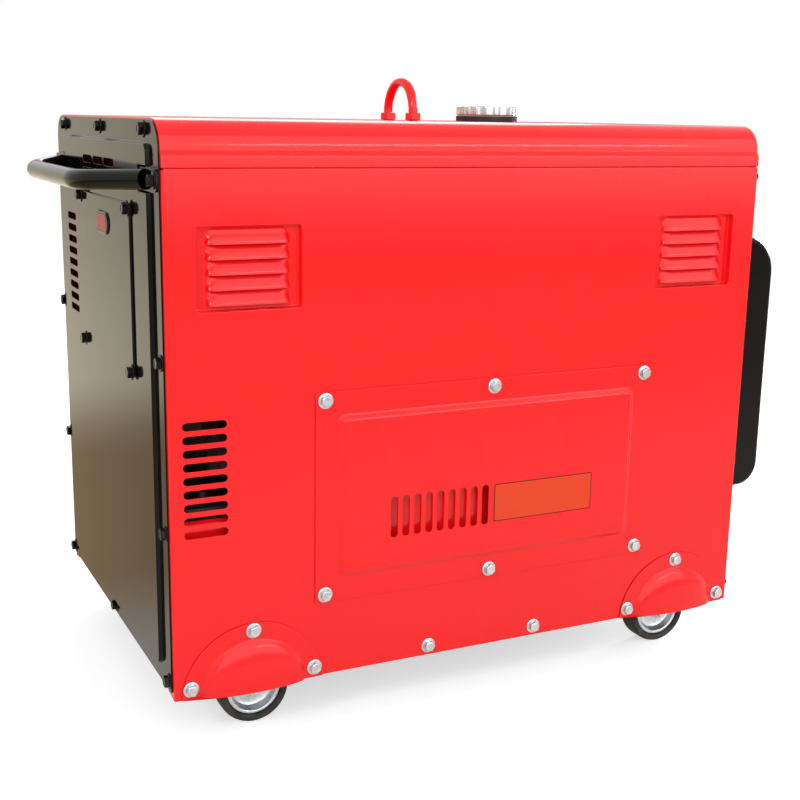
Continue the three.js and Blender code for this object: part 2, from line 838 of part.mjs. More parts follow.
function leftEndPanel() {
  const face = -endFace;
  const field = (inset) => roundedBox(
    -halfWidth + fieldInset + inset,
    halfWidth - fieldInset - inset,
    endBottom + fieldBottom + inset,
    crestHeight - fieldTop - inset,
    fieldCorner - inset,
  );
  let panel = slab('x', endOutline(), face, face + sheet);
  panel = press(panel, 'x', field, face, -1, fieldRise);
  // The handle's feet stand on the panel's own face, so the field is let in around them.
  const footEdge = halfWidth - endBoltInset + boltFlange - handleFootWidth - reliefPlay;
  for (const side of [-1, 1]) {
    const relief = (grow) => rectangle(
      Math.min(side * (footEdge - grow), side * halfWidth),
      Math.max(side * (footEdge - grow), side * halfWidth),
      handleHeight - handleFootHeight / 2 - reliefPlay - grow,
      handleHeight + handleFootHeight / 2 + reliefPlay + grow,
    );
    const walls = slab('x', relief(sheet), face + sheet, face - fieldRise)
      .intersect(slab('x', field(0), face + sheet, face - fieldRise));
    panel = panel.add(walls).subtract(slab('x', relief(0), face, face - fieldRise - 1));
  }
  const from = face - fieldRise - 1;
  const to = face + sheet + 1;
  const lowest = crestHeight - endVentDrop - (ventCount - 1) * ventPitch;
  const vents = ventColumn('x', from, to, endVentCentreY, lowest, ventCount);
  const upperLowest = crestHeight - upperVentDrop - (upperVentRows - 1) * ventPitch;
  for (let column = 0; column < upperVentColumns; column += 1) {
    const y = (column - (upperVentColumns - 1) / 2) * upperVentPitch;
    vents.push(...ventColumn('x', from, to, y, upperLowest, upperVentRows));
  }
  const opening = slab('x', rectangle(
    serviceCentreY - serviceWidth / 2 + serviceLap,
    serviceCentreY + serviceWidth / 2 - serviceLap,
    serviceCentreZ - serviceHeight / 2 + serviceLap,
    serviceCentreZ + serviceHeight / 2 - serviceLap,
  ), from, to);
  return join(cutAll(panel, [...vents, opening]), ...endBolts(-1, endBoltHeights));
}

function rightEndPanel() {
  const face = endFace;
  const panel = slab('x', endOutline(), face, face - sheet);
  const outlet = slab('x', rectangle(
    -halfWidth + hoodInset + outletMargin,
    halfWidth - hoodInset - outletMargin,
    hoodBottom + outletMargin,
    hoodTop - outletMargin,
  ), face + 1, face - sheet - 1);
  return join(panel.subtract(outlet), ...endBolts(1, [...endBoltHeights, handleHeight]));
}

function serviceCover() {
  const base = -endFace - fieldRise - seat;
  const outline = (inset) => roundedBox(
    serviceCentreY - serviceWidth / 2 + inset,
    serviceCentreY + serviceWidth / 2 - inset,
    serviceCentreZ - serviceHeight / 2 + inset,
    serviceCentreZ + serviceHeight / 2 - inset,
    serviceCorner - inset,
  );
  const skin = slab('x', outline(0), base, base - serviceRise);
  const hollow = slab('x', outline(sheet + 2 * serviceBoltInset), base + 1, base - serviceRise + sheet);
  const badge = obround(serviceCentreY, badgeCentreZ, badgeLength, badgeWidth);
  const raised = slab('x', badge, base - serviceRise + sheet / 2, base - serviceRise - badgeRise);
  const bolts = [];
  for (const side of [-1, 1]) {
    for (const level of [-1, 1]) {
      const y = serviceCentreY + side * (serviceWidth / 2 - serviceBoltInset);
      const z = serviceCentreZ + level * (serviceHeight / 2 - serviceBoltInset);
      bolts.push(flangeBolt('x', base - serviceRise, -1, y, z));
    }
  }
  return join(skin.subtract(hollow), raised, ...bolts);
}

function maintenanceCover() {
  const face = -halfWidth - seat - sheet;
  const low = coverBottom;
  const high = coverBottom + coverHeight;
  const left = coverCentreX - coverWidth / 2;
  const right = coverCentreX + coverWidth / 2;
  let cover = slab('y', roundedBox(left, right, low, high, coverCorner), face, face + sheet);
  const field = (inset) => roundedBox(
    left + coverFieldInsetX + inset,
    right - coverFieldInsetX - inset,
    low + coverFieldInsetZ + inset,
    high - coverFieldInsetZ - inset,
    coverFieldCorner - inset,
  );
  cover = pressSloped(cover, 'y', field, face, -1, coverFieldRise, coverFieldSlope);
  const vents = Array.from({ length: ventCount }, (_, k) => slab('y', obround(
    coverCentreX + coverVentFirst + k * ventPitch,
    coverVentBottom + ventLength / 2,
    ventLength,
    ventWidth,
    true,
  ), face - coverFieldRise - 1, face + sheet));
  const bolts = [];
  for (const x of [left + coverBoltInsetX, coverCentreX, right - coverBoltInsetX]) {
    bolts.push(flangeBolt('y', face, -1, x, low + coverBoltInsetZ));
    bolts.push(flangeBolt('y', face, -1, x, high - coverBoltInsetZ));
  }
  return join(cutAll(cover, vents), ...bolts);
}

// A wheel-arch cover: a flat half-round flange with a dome that clears the swinging wheel.
// Its origin lies on its back, at the side panel's bottom edge.
function wheelCover(side) {
  const face = side * sheet;
  const flange = disc('y', archCoverRadius, 0, face, 0, -archCoverDrop, 28);
  const dome = (shrink) => {
    const ball = new THREE.SphereGeometry(1, 16, 10);
    ball.scale(bulgeHalfWidth - shrink, bulgeDepth - shrink, bulgeHeight - shrink);
    ball.translate(0, face, 0);
    return toSolid(ball);
  };
  const reach = archCoverRadius + bulgeHalfWidth;
  const behind = box(-reach, reach, 0, -side * reach, -reach, reach);
  const below = box(-reach, reach, -reach, reach, -reach, 0);
  const shell = cutAll(flange.add(dome(0)), [behind, dome(sheet), below]);
  const low = archBoltCircle * Math.sin(archBoltAngle) - archCoverDrop;
  const across = archBoltCircle * Math.cos(archBoltAngle);
  const bolts = [[-across, low], [0, archBoltCircle - archCoverDrop], [across, low]];
  return join(shell, ...bolts.map(([x, z]) => flangeBolt('y', face, side, x, z)));
}

function hood() {
  const base = endFace + seat;
  const front = base + hoodDepth;
  const side = halfWidth - hoodInset;
  const profile = (inset) => {
    const shape = new THREE.Shape();
    const top = hoodTopBend - inset;
    const bottom = hoodBottomBend - inset;
    shape.moveTo(base, hoodBottom + inset);
    shape.lineTo(front - hoodBottomBend, hoodBottom + inset);
    shape.absarc(front - hoodBottomBend, hoodBottom + hoodBottomBend, bottom, -Math.PI / 2, 0);
    shape.absarc(front - hoodTopBend, hoodTop - hoodTopBend, top, 0, Math.PI / 2);
    shape.lineTo(base, hoodTop - inset);
    shape.closePath();
    return shape;
  };
  const skin = slab('y', profile(0), -side, side, hoodBendSteps);
  const inside = side - sheet;
  const hollow = slab('y', profile(sheet), -inside, inside, hoodBendSteps);
  const behind = box(base - sheet, base, -side, side, hoodBottom, hoodTop);
  const rim = roundedBox(
    -side - hoodFlange,
    side + hoodFlange,
    hoodBottom - hoodFlangeDrop,
    hoodTop + hoodFlange,
    hoodFlangeCorner,
  );
  const space = rectangle(-inside, inside, hoodBottom + sheet, hoodTop - sheet);
  const flange = slab('x', rim, base, base + sheet).subtract(slab('x', space, base - 1, base + 2 * sheet));
  const width = (2 * (side - hoodMouthMargin - hoodMouthGap)) / 3;
  const mouthFrom = base + hoodMouthInset;
  const mouths = [-1, 0, 1].map((place) => {
    const y = place * (width + hoodMouthGap) - width / 2;
    return box(mouthFrom, mouthFrom + hoodMouthDepth, y, y + width, hoodBottom - 1, hoodBottom + 2 * sheet);
  });
  const boltY = side + (hoodFlange + sheet) / 2;
  const bolts = [];
  for (const z of [hoodBottom + hoodLowBolt, (hoodBottom + hoodTop) / 2, hoodTop - hoodHighBolt]) {
    for (const end of [-1, 1]) bolts.push(flangeBolt('x', base + sheet, 1, end * boltY, z));
  }
  return join(cutAll(skin.subtract(hollow), [behind, ...mouths]), flange, ...bolts);
}

// ---- Tray, handle, lifting gear -----------------------------------------------------------
function eachCorner(make) {
  for (const [end, endName] of [[-1, 'left'], [1, 'right']]) {
    for (const [side, sideName] of [[-1, 'front'], [1, 'rear']]) make(end, side, `${endName}_${sideName}`);
  }
}

function baseTray() {
  const wide = trayHalfWidth;
  const long = trayHalfLength;
  const below = trayFloor - trayThickness;
  const outer = box(-long, long, -wide, wide, traySkirtBottom, trayFloor);
  const [innerLong, innerWide] = [long - trayThickness, wide - trayThickness];
  const inner = box(-innerLong, innerLong, -innerWide, innerWide, traySkirtBottom - 1, below);
  let tray = outer.subtract(inner);
  eachCorner((end, side) => {
    const x = end * swivelX;
    const y = side * swivelY;
    const [archFrom, archTo] = [side * (wide + 1), side * (innerWide - 1)];
    tray = tray.subtract(disc('y', archRadius + trayArchPlay, archFrom, archTo, x, -trayArchDrop, 20));
    const [reachX, reachY] = [casterPadLength / 2, casterPadWidth / 2];
    const padFoot = below - casterPadThickness;
    const pad = box(x - reachX, x + reachX, y - reachY, y + reachY, padFoot, below + trayThickness / 2);
    const race = disc('z', forkCrownRadius, forkTop + seat, below - 1, x, y, 12);
    const bore = disc('z', kingpinRadius + runningPlay, forkTop - 1, below - 1, x, y, 12);
    tray = join(tray, pad, race).subtract(bore);
  });
  return tray;
}

const forkTop = forkCrownHeight + forkCrownThickness;

// The fork's origin is where its swivel axis meets the height of the panels' bottom edge.
function casterFork() {
  const inner = wheelWidth / 2 + legPlay;
  const outer = inner + forkPlate;
  const kingpinTop = trayFloor - trayThickness - 1 - seat;
  const pieces = [
    disc('z', forkCrownRadius, forkCrownHeight, forkTop, 0, 0, 12),
    disc('z', kingpinRadius, forkCrownHeight + 1, kingpinTop, 0, 0, 12),
    box(-legSpread, legSpread, -outer, outer, forkCrownHeight - forkPlate, forkTop - 1),
    disc('y', axleRadius, -outer - axleNutLength, outer + axleNutLength, casterTrail, -hubDrop, 10),
  ];
  for (const side of [-1, 1]) {
    const tip = Array.from({ length: legEndSteps + 1 }, (_, k) => {
      const angle = Math.PI + (k * Math.PI) / legEndSteps;
      return [casterTrail + legEndRadius * Math.cos(angle), -hubDrop + legEndRadius * Math.sin(angle)];
    });
    const leg = polygon([[-legSpread, forkCrownHeight], ...tip, [legSpread, forkCrownHeight]]);
    pieces.push(slab('y', leg, side * inner, side * outer));
    pieces.push(hexagon('y', axleNut, side * inner, side * (outer + axleNutLength), casterTrail, -hubDrop));
  }
  return join(...pieces);
}

// Rim and tyre share the hub's centre as their origin.
function rim() {
  const hub = wheelWidth / 2 + legPlay - seat;
  const bore = axleRadius + runningPlay;
  const half = rimWidth / 2;
  const near = [
    [bore, hub],
    [hubRadius, hub],
    [hubRadius + rimWeb, rimWeb],
    [rimRadius - rimLip, rimWeb],
    [rimRadius, half],
  ];
  const far = near.map(([r, h]) => [r, -h]).reverse();
  return turned('y', [...near, ...far], 0, 0, rimFacets);
}

// The tyre's flats lie at the wheel's radius, and its corners a little outside it.
function tyre() {
  const toCorner = 1 / Math.cos(Math.PI / wheelFacets);
  const inner = (rimRadius + seat) * toCorner;
  const outer = wheelRadius * toCorner;
  const half = wheelWidth / 2;
  const shoulder = half - tyreShoulder;
  const profile = [
    [inner, -rimWidth / 2], [outer - tyreShoulder, -half], [outer, -shoulder],
    [outer, shoulder], [outer - tyreShoulder, half], [inner, rimWidth / 2],
  ];
  return turned('y', profile, 0, 0, wheelFacets);
}

// The handle's centreline in (x, y): out from its foot at +Y, round a bend, along the bar
// and back. It is cut into steps only where it bends.
class HandlePath extends THREE.Curve {
  constructor([footX, footY], [cornerX, cornerY], bend) {
    super();
    const turn = Math.atan2(footX - cornerX, footY - cornerY);
    const bendEnd = cornerY - bend * Math.tan(turn / 2);
    const heading = (angle) => [-Math.sin(angle), -Math.cos(angle)];
    const half = [{ point: [footX, footY], tangent: heading(turn) }];
    for (let k = 0; k <= handleBendSteps; k += 1) {
      const angle = turn * (1 - k / handleBendSteps);
      const point = [cornerX + bend * (1 - Math.cos(angle)), bendEnd + bend * Math.sin(angle)];
      half.push({ point, tangent: heading(angle) });
    }
    const mirrored = half.slice().reverse().map(({ point, tangent }) => ({
      point: [point[0], -point[1]],
      tangent: [-tangent[0], tangent[1]],
    }));
    this.stations = [...half, ...mirrored];
  }

  station(u) {
    return this.stations[Math.round(u * (this.stations.length - 1))];
  }

  getPointAt(u, target = new THREE.Vector3()) {
    const [x, y] = this.station(u).point;
    return target.set(x, y, 0);
  }

  getTangentAt(u, target = new THREE.Vector3()) {
    const [x, y] = this.station(u).tangent;
    return target.set(x, y, 0);
  }
}

function handle() {
  const foot = -endFace - seat;
  const face = foot - handleFootThickness;
  const bar = [-endFace - handleReach, handleBarHalf];
  const legY = halfWidth - handleLegInset;
  // The leg starts a little behind its foot's face and is cut off at the foot's back.
  const into = handleRadius / (face - bar[0]);
  const start = [face + into * (face - bar[0]), legY + into * (legY - bar[1])];
  const path = new HandlePath(start, bar, handleBend);
  const section = polygon(ring(12, handleRadius, 0, 0));
  const steps = path.stations.length - 1;
  const tube = new THREE.ExtrudeGeometry(section, { steps, bevelEnabled: false, extrudePath: path });
  const droop = new THREE.Matrix4().set(
    1, 0, 0, 0,
    0, 1, 0, 0,
    handleDroop / handleReach, 0, 1, handleHeight - (handleDroop / handleReach) * foot,
    0, 0, 0, 1,
  );
  tube.applyMatrix4(droop);
  const behind = box(foot, foot + 4 * handleRadius, -halfWidth, halfWidth, 0, crestHeight);
  const pieces = [toSolid(tube).subtract(behind)];
  for (const side of [-1, 1]) {
    const boltY = halfWidth - endBoltInset;
    const near = side * (boltY + boltFlange);
    const far = side * (boltY + boltFlange - handleFootWidth);
    pieces.push(slab('x', roundedBox(
      Math.min(near, far),
      Math.max(near, far),
      handleHeight - handleFootHeight / 2,
      handleHeight + handleFootHeight / 2,
      handleFootCorner,
    ), foot, face));
    pieces.push(flangeBolt('x', face, -1, side * boltY, handleHeight));
  }
  return join(...pieces);
}

function liftingEye() {
  const top = crestHeight + eyeCentreHeight;
  const bottom = roofUnderside - seat - frameTube - nutHeight - eyeThreadBelow;
  const arc = new THREE.TorusGeometry(eyeHalfSpan, eyeRod, 10, 24);
  arc.applyMatrix4(new THREE.Matrix4().makeBasis(frames.x[0], frames.x[1], frames.x[2]));
  arc.translate(eyeX, 0, top);
  const reach = eyeHalfSpan + 2 * eyeRod;
  const lower = box(eyeX - 2 * eyeRod, eyeX + 2 * eyeRod, -reach, reach, top - reach, top);
  const pieces = [toSolid(arc).subtract(lower)];
  for (const side of [-1, 1]) {
    const y = side * eyeHalfSpan;
    pieces.push(disc('z', eyeRod, bottom, top + 0.5, eyeX, y, 10));
    const nutTop = roofUnderside - 2 * seat - frameTube;
    pieces.push(hexagon('z', nutHex, nutTop - nutHeight, nutTop, eyeX, y));
  }
  return join(...pieces);
}

function liftingNut() {
  const bore = disc('z', eyeRod + rodPlay, -1, nutHeight + 1, 0, 0);
  return hexagon('z', nutHex, 0, nutHeight, 0, 0).subtract(bore);
}

// A portal of square tube that carries the lifting eye's load from the tray.
function liftingFrame() {
  const top = roofUnderside - seat;
  const half = frameTube / 2;
  const pieces = [box(eyeX - half, eyeX + half, -frameHalfSpan, frameHalfSpan, top - frameTube, top)];
  for (const side of [-1, 1]) {
    const y = side * (frameHalfSpan - half);
    pieces.push(box(eyeX - half, eyeX + half, y - half, y + half, trayFloor + seat, top - 1));
  }
  const holes = [-1, 1].map((side) => (
    disc('z', eyeRod + rodPlay, top - frameTube - 1, top + 1, eyeX, side * eyeHalfSpan)
  ));
  return cutAll(join(...pieces), holes);
}

// ---- Fuel system --------------------------------------------------------------------------
const capBase = crestHeight + seat + gasketThickness + seat;

function fuelTank() {
  const top = roofUnderside - seat;
  const bottom = top - tankHeight;
  const x0 = capX - tankLength / 2;
  const x1 = capX + tankLength / 2;
  const y1 = tankWidth / 2;
  const outline = (inset) => roundedBox(x0 + inset, x1 - inset, -y1 + inset, y1 - inset, tankCorner - inset);
  const shell = slab('z', outline(0), bottom, top);
  const neck = disc('z', neckRadius, top - 1, capBase - seat, capX, 0);
  const cavity = slab('z', outline(tankWall), bottom + tankWall, top - tankWall);
  const throat = disc('z', neckRadius - neckWall, top - 2 * tankWall, capBase + 1, capX, 0);
  return cutAll(shell.add(neck), [cavity, throat]);
}

function capGasket() {
  const low = crestHeight + seat;
  return disc('z', capRadius, low, low + gasketThickness, capX, 0, 24)
    .subtract(disc('z', neckRadius + runningPlay, low - 1, low + gasketThickness + 1, capX, 0));
}

function fuelCap() {
  const rimTop = capBase + capRimHeight;
  const cap = [
    [0, capBase],
    [capRadius, capBase],
    [capRadius, rimTop - capEdgeDrop],
    [capRadius - capEdge, rimTop],
    [capDomeRadius, rimTop + capDome - capDomeSag],
    [0, rimTop + capDome],
  ];
  const plug = disc('z', capPlugRadius, capBase - capPlugDepth, capBase + 1, capX, 0);
  return turned('z', cap, capX, 0, 24).add(plug);
}

// ---- Control side -------------------------------------------------------------------------
const meterX = controlCentreX + meterPlace;
const meterZ = controlCentreZ + upperRowRise;
const breakerX = controlCentreX + breakerPlace;
const keyX = controlCentreX + keyPlace;
const terminalX = controlCentreX + terminalPlace;
const terminalZ = controlCentreZ - lowerRowDrop;
const socketX = controlCentreX + socketPlace;
const socketHeights = {
  upper: controlCentreZ + socketRises.upper,
  lower: controlCentreZ + socketRises.lower,
};

function controlPanel() {
  const back = controlFace - controlPlate;
  const plate = slab('y', roundedBox(
    controlCentreX - controlWidth / 2 - controlLap,
    controlCentreX + controlWidth / 2 + controlLap,
    controlCentreZ - controlHeight / 2 - controlLap,
    controlCentreZ + controlHeight / 2 + controlLap,
    controlCorner,
  ), back, controlFace);
  const holes = [
    disc('y', meterBodyRadius + seat, back - 1, controlFace + 1, meterX, meterZ),
    disc('y', keyBodyRadius + seat, back - 1, controlFace + 1, keyX, meterZ),
    slab('y', rectangle(
      breakerX - breakerWidth / 2 - seat,
      breakerX + breakerWidth / 2 + seat,
      meterZ - breakerHeight / 2 - seat,
      meterZ + breakerHeight / 2 + seat,
    ), back - 1, controlFace + 1),
    ...Object.values(socketHeights).map((z) => (
      disc('y', socketBodyRadius + seat, back - 1, controlFace + 1, socketX, z)
    )),
  ];
  return cutAll(plate, holes);
}

function voltmeter() {
  const face = controlFace + seat;
  const front = face + meterBezel;
  const square = (half, corner) => (
    roundedBox(meterX - half, meterX + half, meterZ - half, meterZ + half, corner)
  );
  const dialFace = front - meterDialDepth;
  const bezel = slab('y', square(meterSize / 2, meterCorner), face, front);
  const body = disc('y', meterBodyRadius, face - meterBodyDepth, face + 1, meterX, meterZ);
  const dial = slab('y', square(meterSize / 2 - meterBezelWidth, meterDialCorner), dialFace, front + 1);
  const pivotZ = meterZ - needlePivotDrop;
  const post = disc('y', meterPostRadius, dialFace - 1, dialFace + meterPostHeight, meterX, pivotZ, 10);
  return bezel.add(body).subtract(dial).add(post);
}

function voltmeterNeedle() {
  const low = controlFace + seat + meterBezel - meterDialDepth + meterPostHeight + seat;
  const pivotZ = meterZ - needlePivotDrop;
  const hub = disc('y', needleHubRadius, low, low + needleHubThickness, meterX, pivotZ, 12);
  const along = [Math.cos(needleRestAngle), Math.sin(needleRestAngle)];
  const across = [-along[1] * needleWidth / 2, along[0] * needleWidth / 2];
  const tip = [meterX + along[0] * needleLength, pivotZ + along[1] * needleLength];
  const pointer = polygon([
    [meterX + across[0], pivotZ + across[1]],
    [meterX - across[0], pivotZ - across[1]],
    [tip[0] - across[0] * needleTipShare, tip[1] - across[1] * needleTipShare],
    [tip[0] + across[0] * needleTipShare, tip[1] + across[1] * needleTipShare],
  ]);
  return hub.add(slab('y', pointer, low, low + needleThickness));
}

function breaker() {
  const face = controlFace + seat;
  const w = breakerWidth / 2;
  const h = breakerHeight / 2;
  const block = (halfX, halfZ, from, to) => (
    box(breakerX - halfX, breakerX + halfX, from, to, meterZ - halfZ, meterZ + halfZ)
  );
  const front = face + breakerFront;
  const body = block(w, h, face - breakerDepth, front);
  const collar = block(w + breakerCollar, h + breakerCollar, face, face + breakerCollarThickness);
  const slot = block(toggleRadius + seat, breakerSlotHeight / 2, face - breakerSlotDepth, front + 1);
  return body.add(collar).subtract(slot);
}

// The toggle turns about an axis along X.
const toggleAxisY = controlFace + seat - toggleAxisDepth;

function breakerToggle() {
  const [left, right] = [breakerX - toggleRadius, breakerX + toggleRadius];
  const barrel = disc('x', toggleRadius, left, right, toggleAxisY, meterZ, 14);
  const reach = breakerFront + toggleAxisDepth + toggleLength;
  const direction = [Math.cos(toggleLean), -Math.sin(toggleLean)];
  const normal = [(-direction[1] * toggleThickness) / 2, (direction[0] * toggleThickness) / 2];
  const tip = [toggleAxisY + direction[0] * reach, meterZ + direction[1] * reach];
  const lever = polygon([
    [toggleAxisY - normal[0], meterZ - normal[1]],
    [tip[0] - normal[0], tip[1] - normal[1]],
    [tip[0] + normal[0], tip[1] + normal[1]],
    [toggleAxisY + normal[0], meterZ + normal[1]],
  ]);
  return barrel.add(slab('x', lever, left, right));
}

function keySwitch() {
  const face = controlFace + seat;
  const front = face + keySwitchFront;
  const body = disc('y', keyBodyRadius, face - keyBodyDepth, face + 1, keyX, meterZ);
  const rim = disc('y', keySwitchRadius, face, front, keyX, meterZ);
  const bore = disc('y', keyBladeRadius + runningPlay, face - keyBoreDepth, front + 1, keyX, meterZ);
  return body.add(rim).subtract(bore);
}

function ignitionKey() {
  const face = controlFace + seat + keySwitchFront + seat;
  const blade = disc('y', keyBladeRadius, face - keyBladeDepth, face + 1, keyX, meterZ, 12);
  const half = keyHeadWidth / 2;
  const outline = roundedBox(keyX - half, keyX + half, face, face + keyHeadLength, keyHeadCorner);
  const head = slab('z', outline, meterZ - keyThickness / 2, meterZ + keyThickness / 2);
  return blade.add(head);
}

// A socket's origin is the middle of its flange's back face; its lid's is on the hinge's axis.
const lidAxisY = socketFlange + seat + lidKnuckle;
const lidAxisZ = socketSize / 2 - lidKnuckle;

function socketOutlet() {
  const half = socketSize / 2;
  const flange = slab('y', roundedBox(-half, half, -half, half, socketCorner), 0, socketFlange);
  const body = disc('y', socketBodyRadius, -socketBodyDepth, 1, 0, 0);
  const well = disc('y', socketBore, socketFlange - socketDepth, socketFlange + 1, 0, 0);
  const pins = [-1, 1].map((side) => (
    disc('y', pinHoleRadius, -socketBodyDepth + pinHoleFloor, 0, side * pinHolePitch / 2, 0, 8)
  ));
  const ears = [-1, 1].flatMap((side) => {
    const [from, to] = [side * (half - lidEar), side * (half - lidInset)];
    return [
      disc('x', lidKnuckle, from, to, lidAxisY, lidAxisZ, 8),
      box(from, to, 1, lidAxisY, lidAxisZ - lidKnuckle, lidAxisZ + lidKnuckle),
    ];
  });
  const pin = disc('x', lidPinRadius, -half + lidEar / 2, half - lidEar / 2, lidAxisY, lidAxisZ, 8);
  return join(cutAll(flange.add(body), [well, ...pins]), ...ears, pin);
}

function socketLid() {
  const back = -lidKnuckle;
  const half = socketSize / 2 - lidInset;
  const low = -lidAxisZ - half;
  const inner = socketSize / 2 - lidEar - seat;
  const bridgeBottom = -lidKnuckle - lidBridge;
  const outline = roundedBox(-half, half, low, bridgeBottom + 1, lidCorner);
  const plate = slab('y', outline, back, back + lidThickness);
  const bridge = box(-inner, inner, back, back + lidThickness, bridgeBottom, 0);
  const barrel = disc('x', lidKnuckle, -inner, inner, 0, 0, 12);
  return join(plate, bridge, barrel).subtract(disc('x', lidPinRadius + pinPlay, -half, half, 0, 0, 12));
}

function terminalBlock() {
  const face = controlFace + seat;
  const outline = roundedBox(
    terminalX - terminalBase / 2,
    terminalX + terminalBase / 2,
    terminalZ - terminalBaseHeight / 2,
    terminalZ + terminalBaseHeight / 2,
    terminalCorner,
  );
  const front = face + terminalBaseThickness;
  const base = slab('y', outline, face, front);
  const knobs = [-1, 1].map((side) => {
    const x = terminalX + (side * terminalPitch) / 2;
    return hexagon('y', terminalKnobHex, front - 1, front + terminalKnob, x, terminalZ);
  });
  return join(base, ...knobs);
}

// ---- Service door -------------------------------------------------------------------------
function serviceDoor() {
  const back = halfWidth + seat;
  const x0 = doorCentreX - doorWidth / 2;
  const x1 = doorCentreX + doorWidth / 2;
  const top = doorBottom + doorHeight;
  const outline = (inset) => (
    roundedBox(x0 + inset, x1 - inset, doorBottom + inset, top - inset, doorCorner - inset)
  );
  const hollow = slab('y', outline(sheet), back - 1, back + doorPan - sheet);
  const pan = slab('y', outline(0), back, back + doorPan).subtract(hollow);
  const axisX = x0 - hingeRadius - seat;
  const axisY = halfWidth + hingeRadius + seat;
  const pieces = [pan];
  const bores = [];
  for (const z of hingeHeights()) {
    const third = hingeLength / 3;
    const from = z - third / 2 + seat;
    const to = z + third / 2 - seat;
    pieces.push(disc('z', hingeRadius, from, to, axisX, axisY, 12));
    pieces.push(box(axisX, x0 + 1, axisY - 1, back + doorPan - 0.1, from, to));
    bores.push(disc('z', hingePinRadius + pinPlay, z - third, z + third, axisX, axisY, 12));
  }
  const latchHole = disc('y', latchShaft + runningPlay, back - 2, back + doorPan + 1, latchX, latchZ);
  return cutAll(join(...pieces), [...bores, latchHole]);
}

const latchX = doorCentreX + doorWidth / 2 - doorLap - latchEdge;
const latchZ = doorBottom + doorHeight / 2;

function doorLatch() {
  const front = halfWidth + seat + doorPan;
  const behind = halfWidth - sheet - latchCamPlay;
  const camBack = behind - latchCamThickness;
  const knobTop = front + latchKnob;
  const upright = (width, from, to, low, high) => (
    box(latchX - width / 2, latchX + width / 2, from, to, latchZ - low, latchZ + high)
  );
  const knob = disc('y', latchRadius, front + seat, knobTop, latchX, latchZ);
  const half = latchGripLength / 2;
  const grip = upright(latchGripWidth, knobTop - 1, knobTop + latchGripRise, half, half);
  const shaft = disc('y', latchShaft, camBack, front + 1, latchX, latchZ, 16);
  const cam = upright(latchCamWidth, camBack, behind, latchCam, latchCamHeel);
  return join(knob, grip, shaft, cam);
}

// ---- Engine, alternator and their fittings ------------------------------------------------
const blockLeft = crankcaseX - crankcaseLength / 2;
const blockRight = crankcaseX + crankcaseLength / 2;
const alternatorFace = blockLeft - seat;
const mountTop = trayFloor + seat + mountHeight;
const footBottom = mountTop + seat;
const engineMountX = crankcaseX + engineMountOffset;
const alternatorMountX = alternatorFace - alternatorLength + alternatorMountInset;
const crankBore = crankRadius + runningPlay;

// A foot laid across two rubber mounts.
function mountFoot(x, span) {
  const reach = span + mountRadius;
  const half = footWidth / 2;
  return box(x - half, x + half, -reach, reach, footBottom, footBottom + footHeight);
}

function engineBlock() {
  const half = cylinderSize / 2;
  const wide = crankcaseWidth / 2;
  const crankcase = roundedBox(-wide, wide, crankcaseBottom, crankcaseTop, crankcaseCorner);
  const square = (reach, low, high) => (
    box(crankcaseX - reach, crankcaseX + reach, -reach, reach, low, high)
  );
  const sumpWide = wide - sumpInsetSide;
  const [sumpLeft, sumpRight] = [blockLeft + sumpInsetLeft, blockRight - sumpInsetRight];
  const pieces = [
    slab('x', crankcase, blockLeft, blockRight, 2),
    square(half, crankcaseTop - blockRoot, headBottom - seat),
    mountFoot(engineMountX, engineMountSpan),
    box(sumpLeft, sumpRight, -sumpWide, sumpWide, footBottom + sumpRise, crankcaseBottom + blockRoot),
  ];
  const firstFin = crankcaseTop + finFirst;
  const lastFin = headBottom - finLastDrop;
  for (let k = 0; k < finCount; k += 1) {
    const z = firstFin + (k * (lastFin - firstFin)) / (finCount - 1);
    pieces.push(square(half + finReach, z, z + finThickness));
  }
  const shroudEnd = blockRight + shroudDepth;
  const shroud = disc('x', shroudRadius, blockRight - 1, shroudEnd, 0, crankHeight, 24);
  const shroudSpace = disc('x', shroudRadius - shroudWall, blockRight, shroudEnd + 1, 0, crankHeight, 24);
  const bore = disc('x', crankBore, blockLeft - 1, blockRight + 1, 0, crankHeight);
  return join(...pieces, shroud.subtract(shroudSpace)).subtract(bore);
}

function cylinderHead() {
  const half = headSize / 2;
  const top = headBottom + headHeight;
  const outline = (x, y, corner) => roundedBox(crankcaseX - x, crankcaseX + x, -y, y, corner);
  const body = slab('z', outline(half, half, headCorner), headBottom, top);
  const cover = outline(half - rockerInsetX, half - rockerInsetY, rockerCorner);
  const rocker = slab('z', cover, top - 1, top + rockerHeight);
  return body.add(rocker);
}

function crankshaft() {
  const left = alternatorFace - alternatorLength - crankEndPlay;
  const right = blockRight + shroudDepth - crankEndPlay;
  return disc('x', crankRadius, left, right, 0, crankHeight);
}

function flywheelFan() {
  const left = blockRight + flywheelGap;
  const right = left + flywheelThickness;
  const hubEnd = right + flywheelHubRise;
  const pieces = [
    disc('x', flywheelRadius, left, right, 0, crankHeight, 24),
    disc('x', crankRadius + flywheelHubWall, left, hubEnd, 0, crankHeight),
  ];
  const tip = flywheelRadius - bladeTipInset;
  for (let k = 0; k < bladeCount; k += 1) {
    const blade = new THREE.BoxGeometry(bladeHeight + 1, bladeThickness, tip - bladeRoot);
    blade.translate(right + (bladeHeight - 1) / 2, 0, (tip + bladeRoot) / 2);
    blade.rotateX((k * 2 * Math.PI) / bladeCount);
    blade.translate(0, 0, crankHeight);
    pieces.push(toSolid(blade));
  }
  return join(...pieces).subtract(disc('x', crankRadius + seat, left - 1, hubEnd + 1, 0, crankHeight));
}

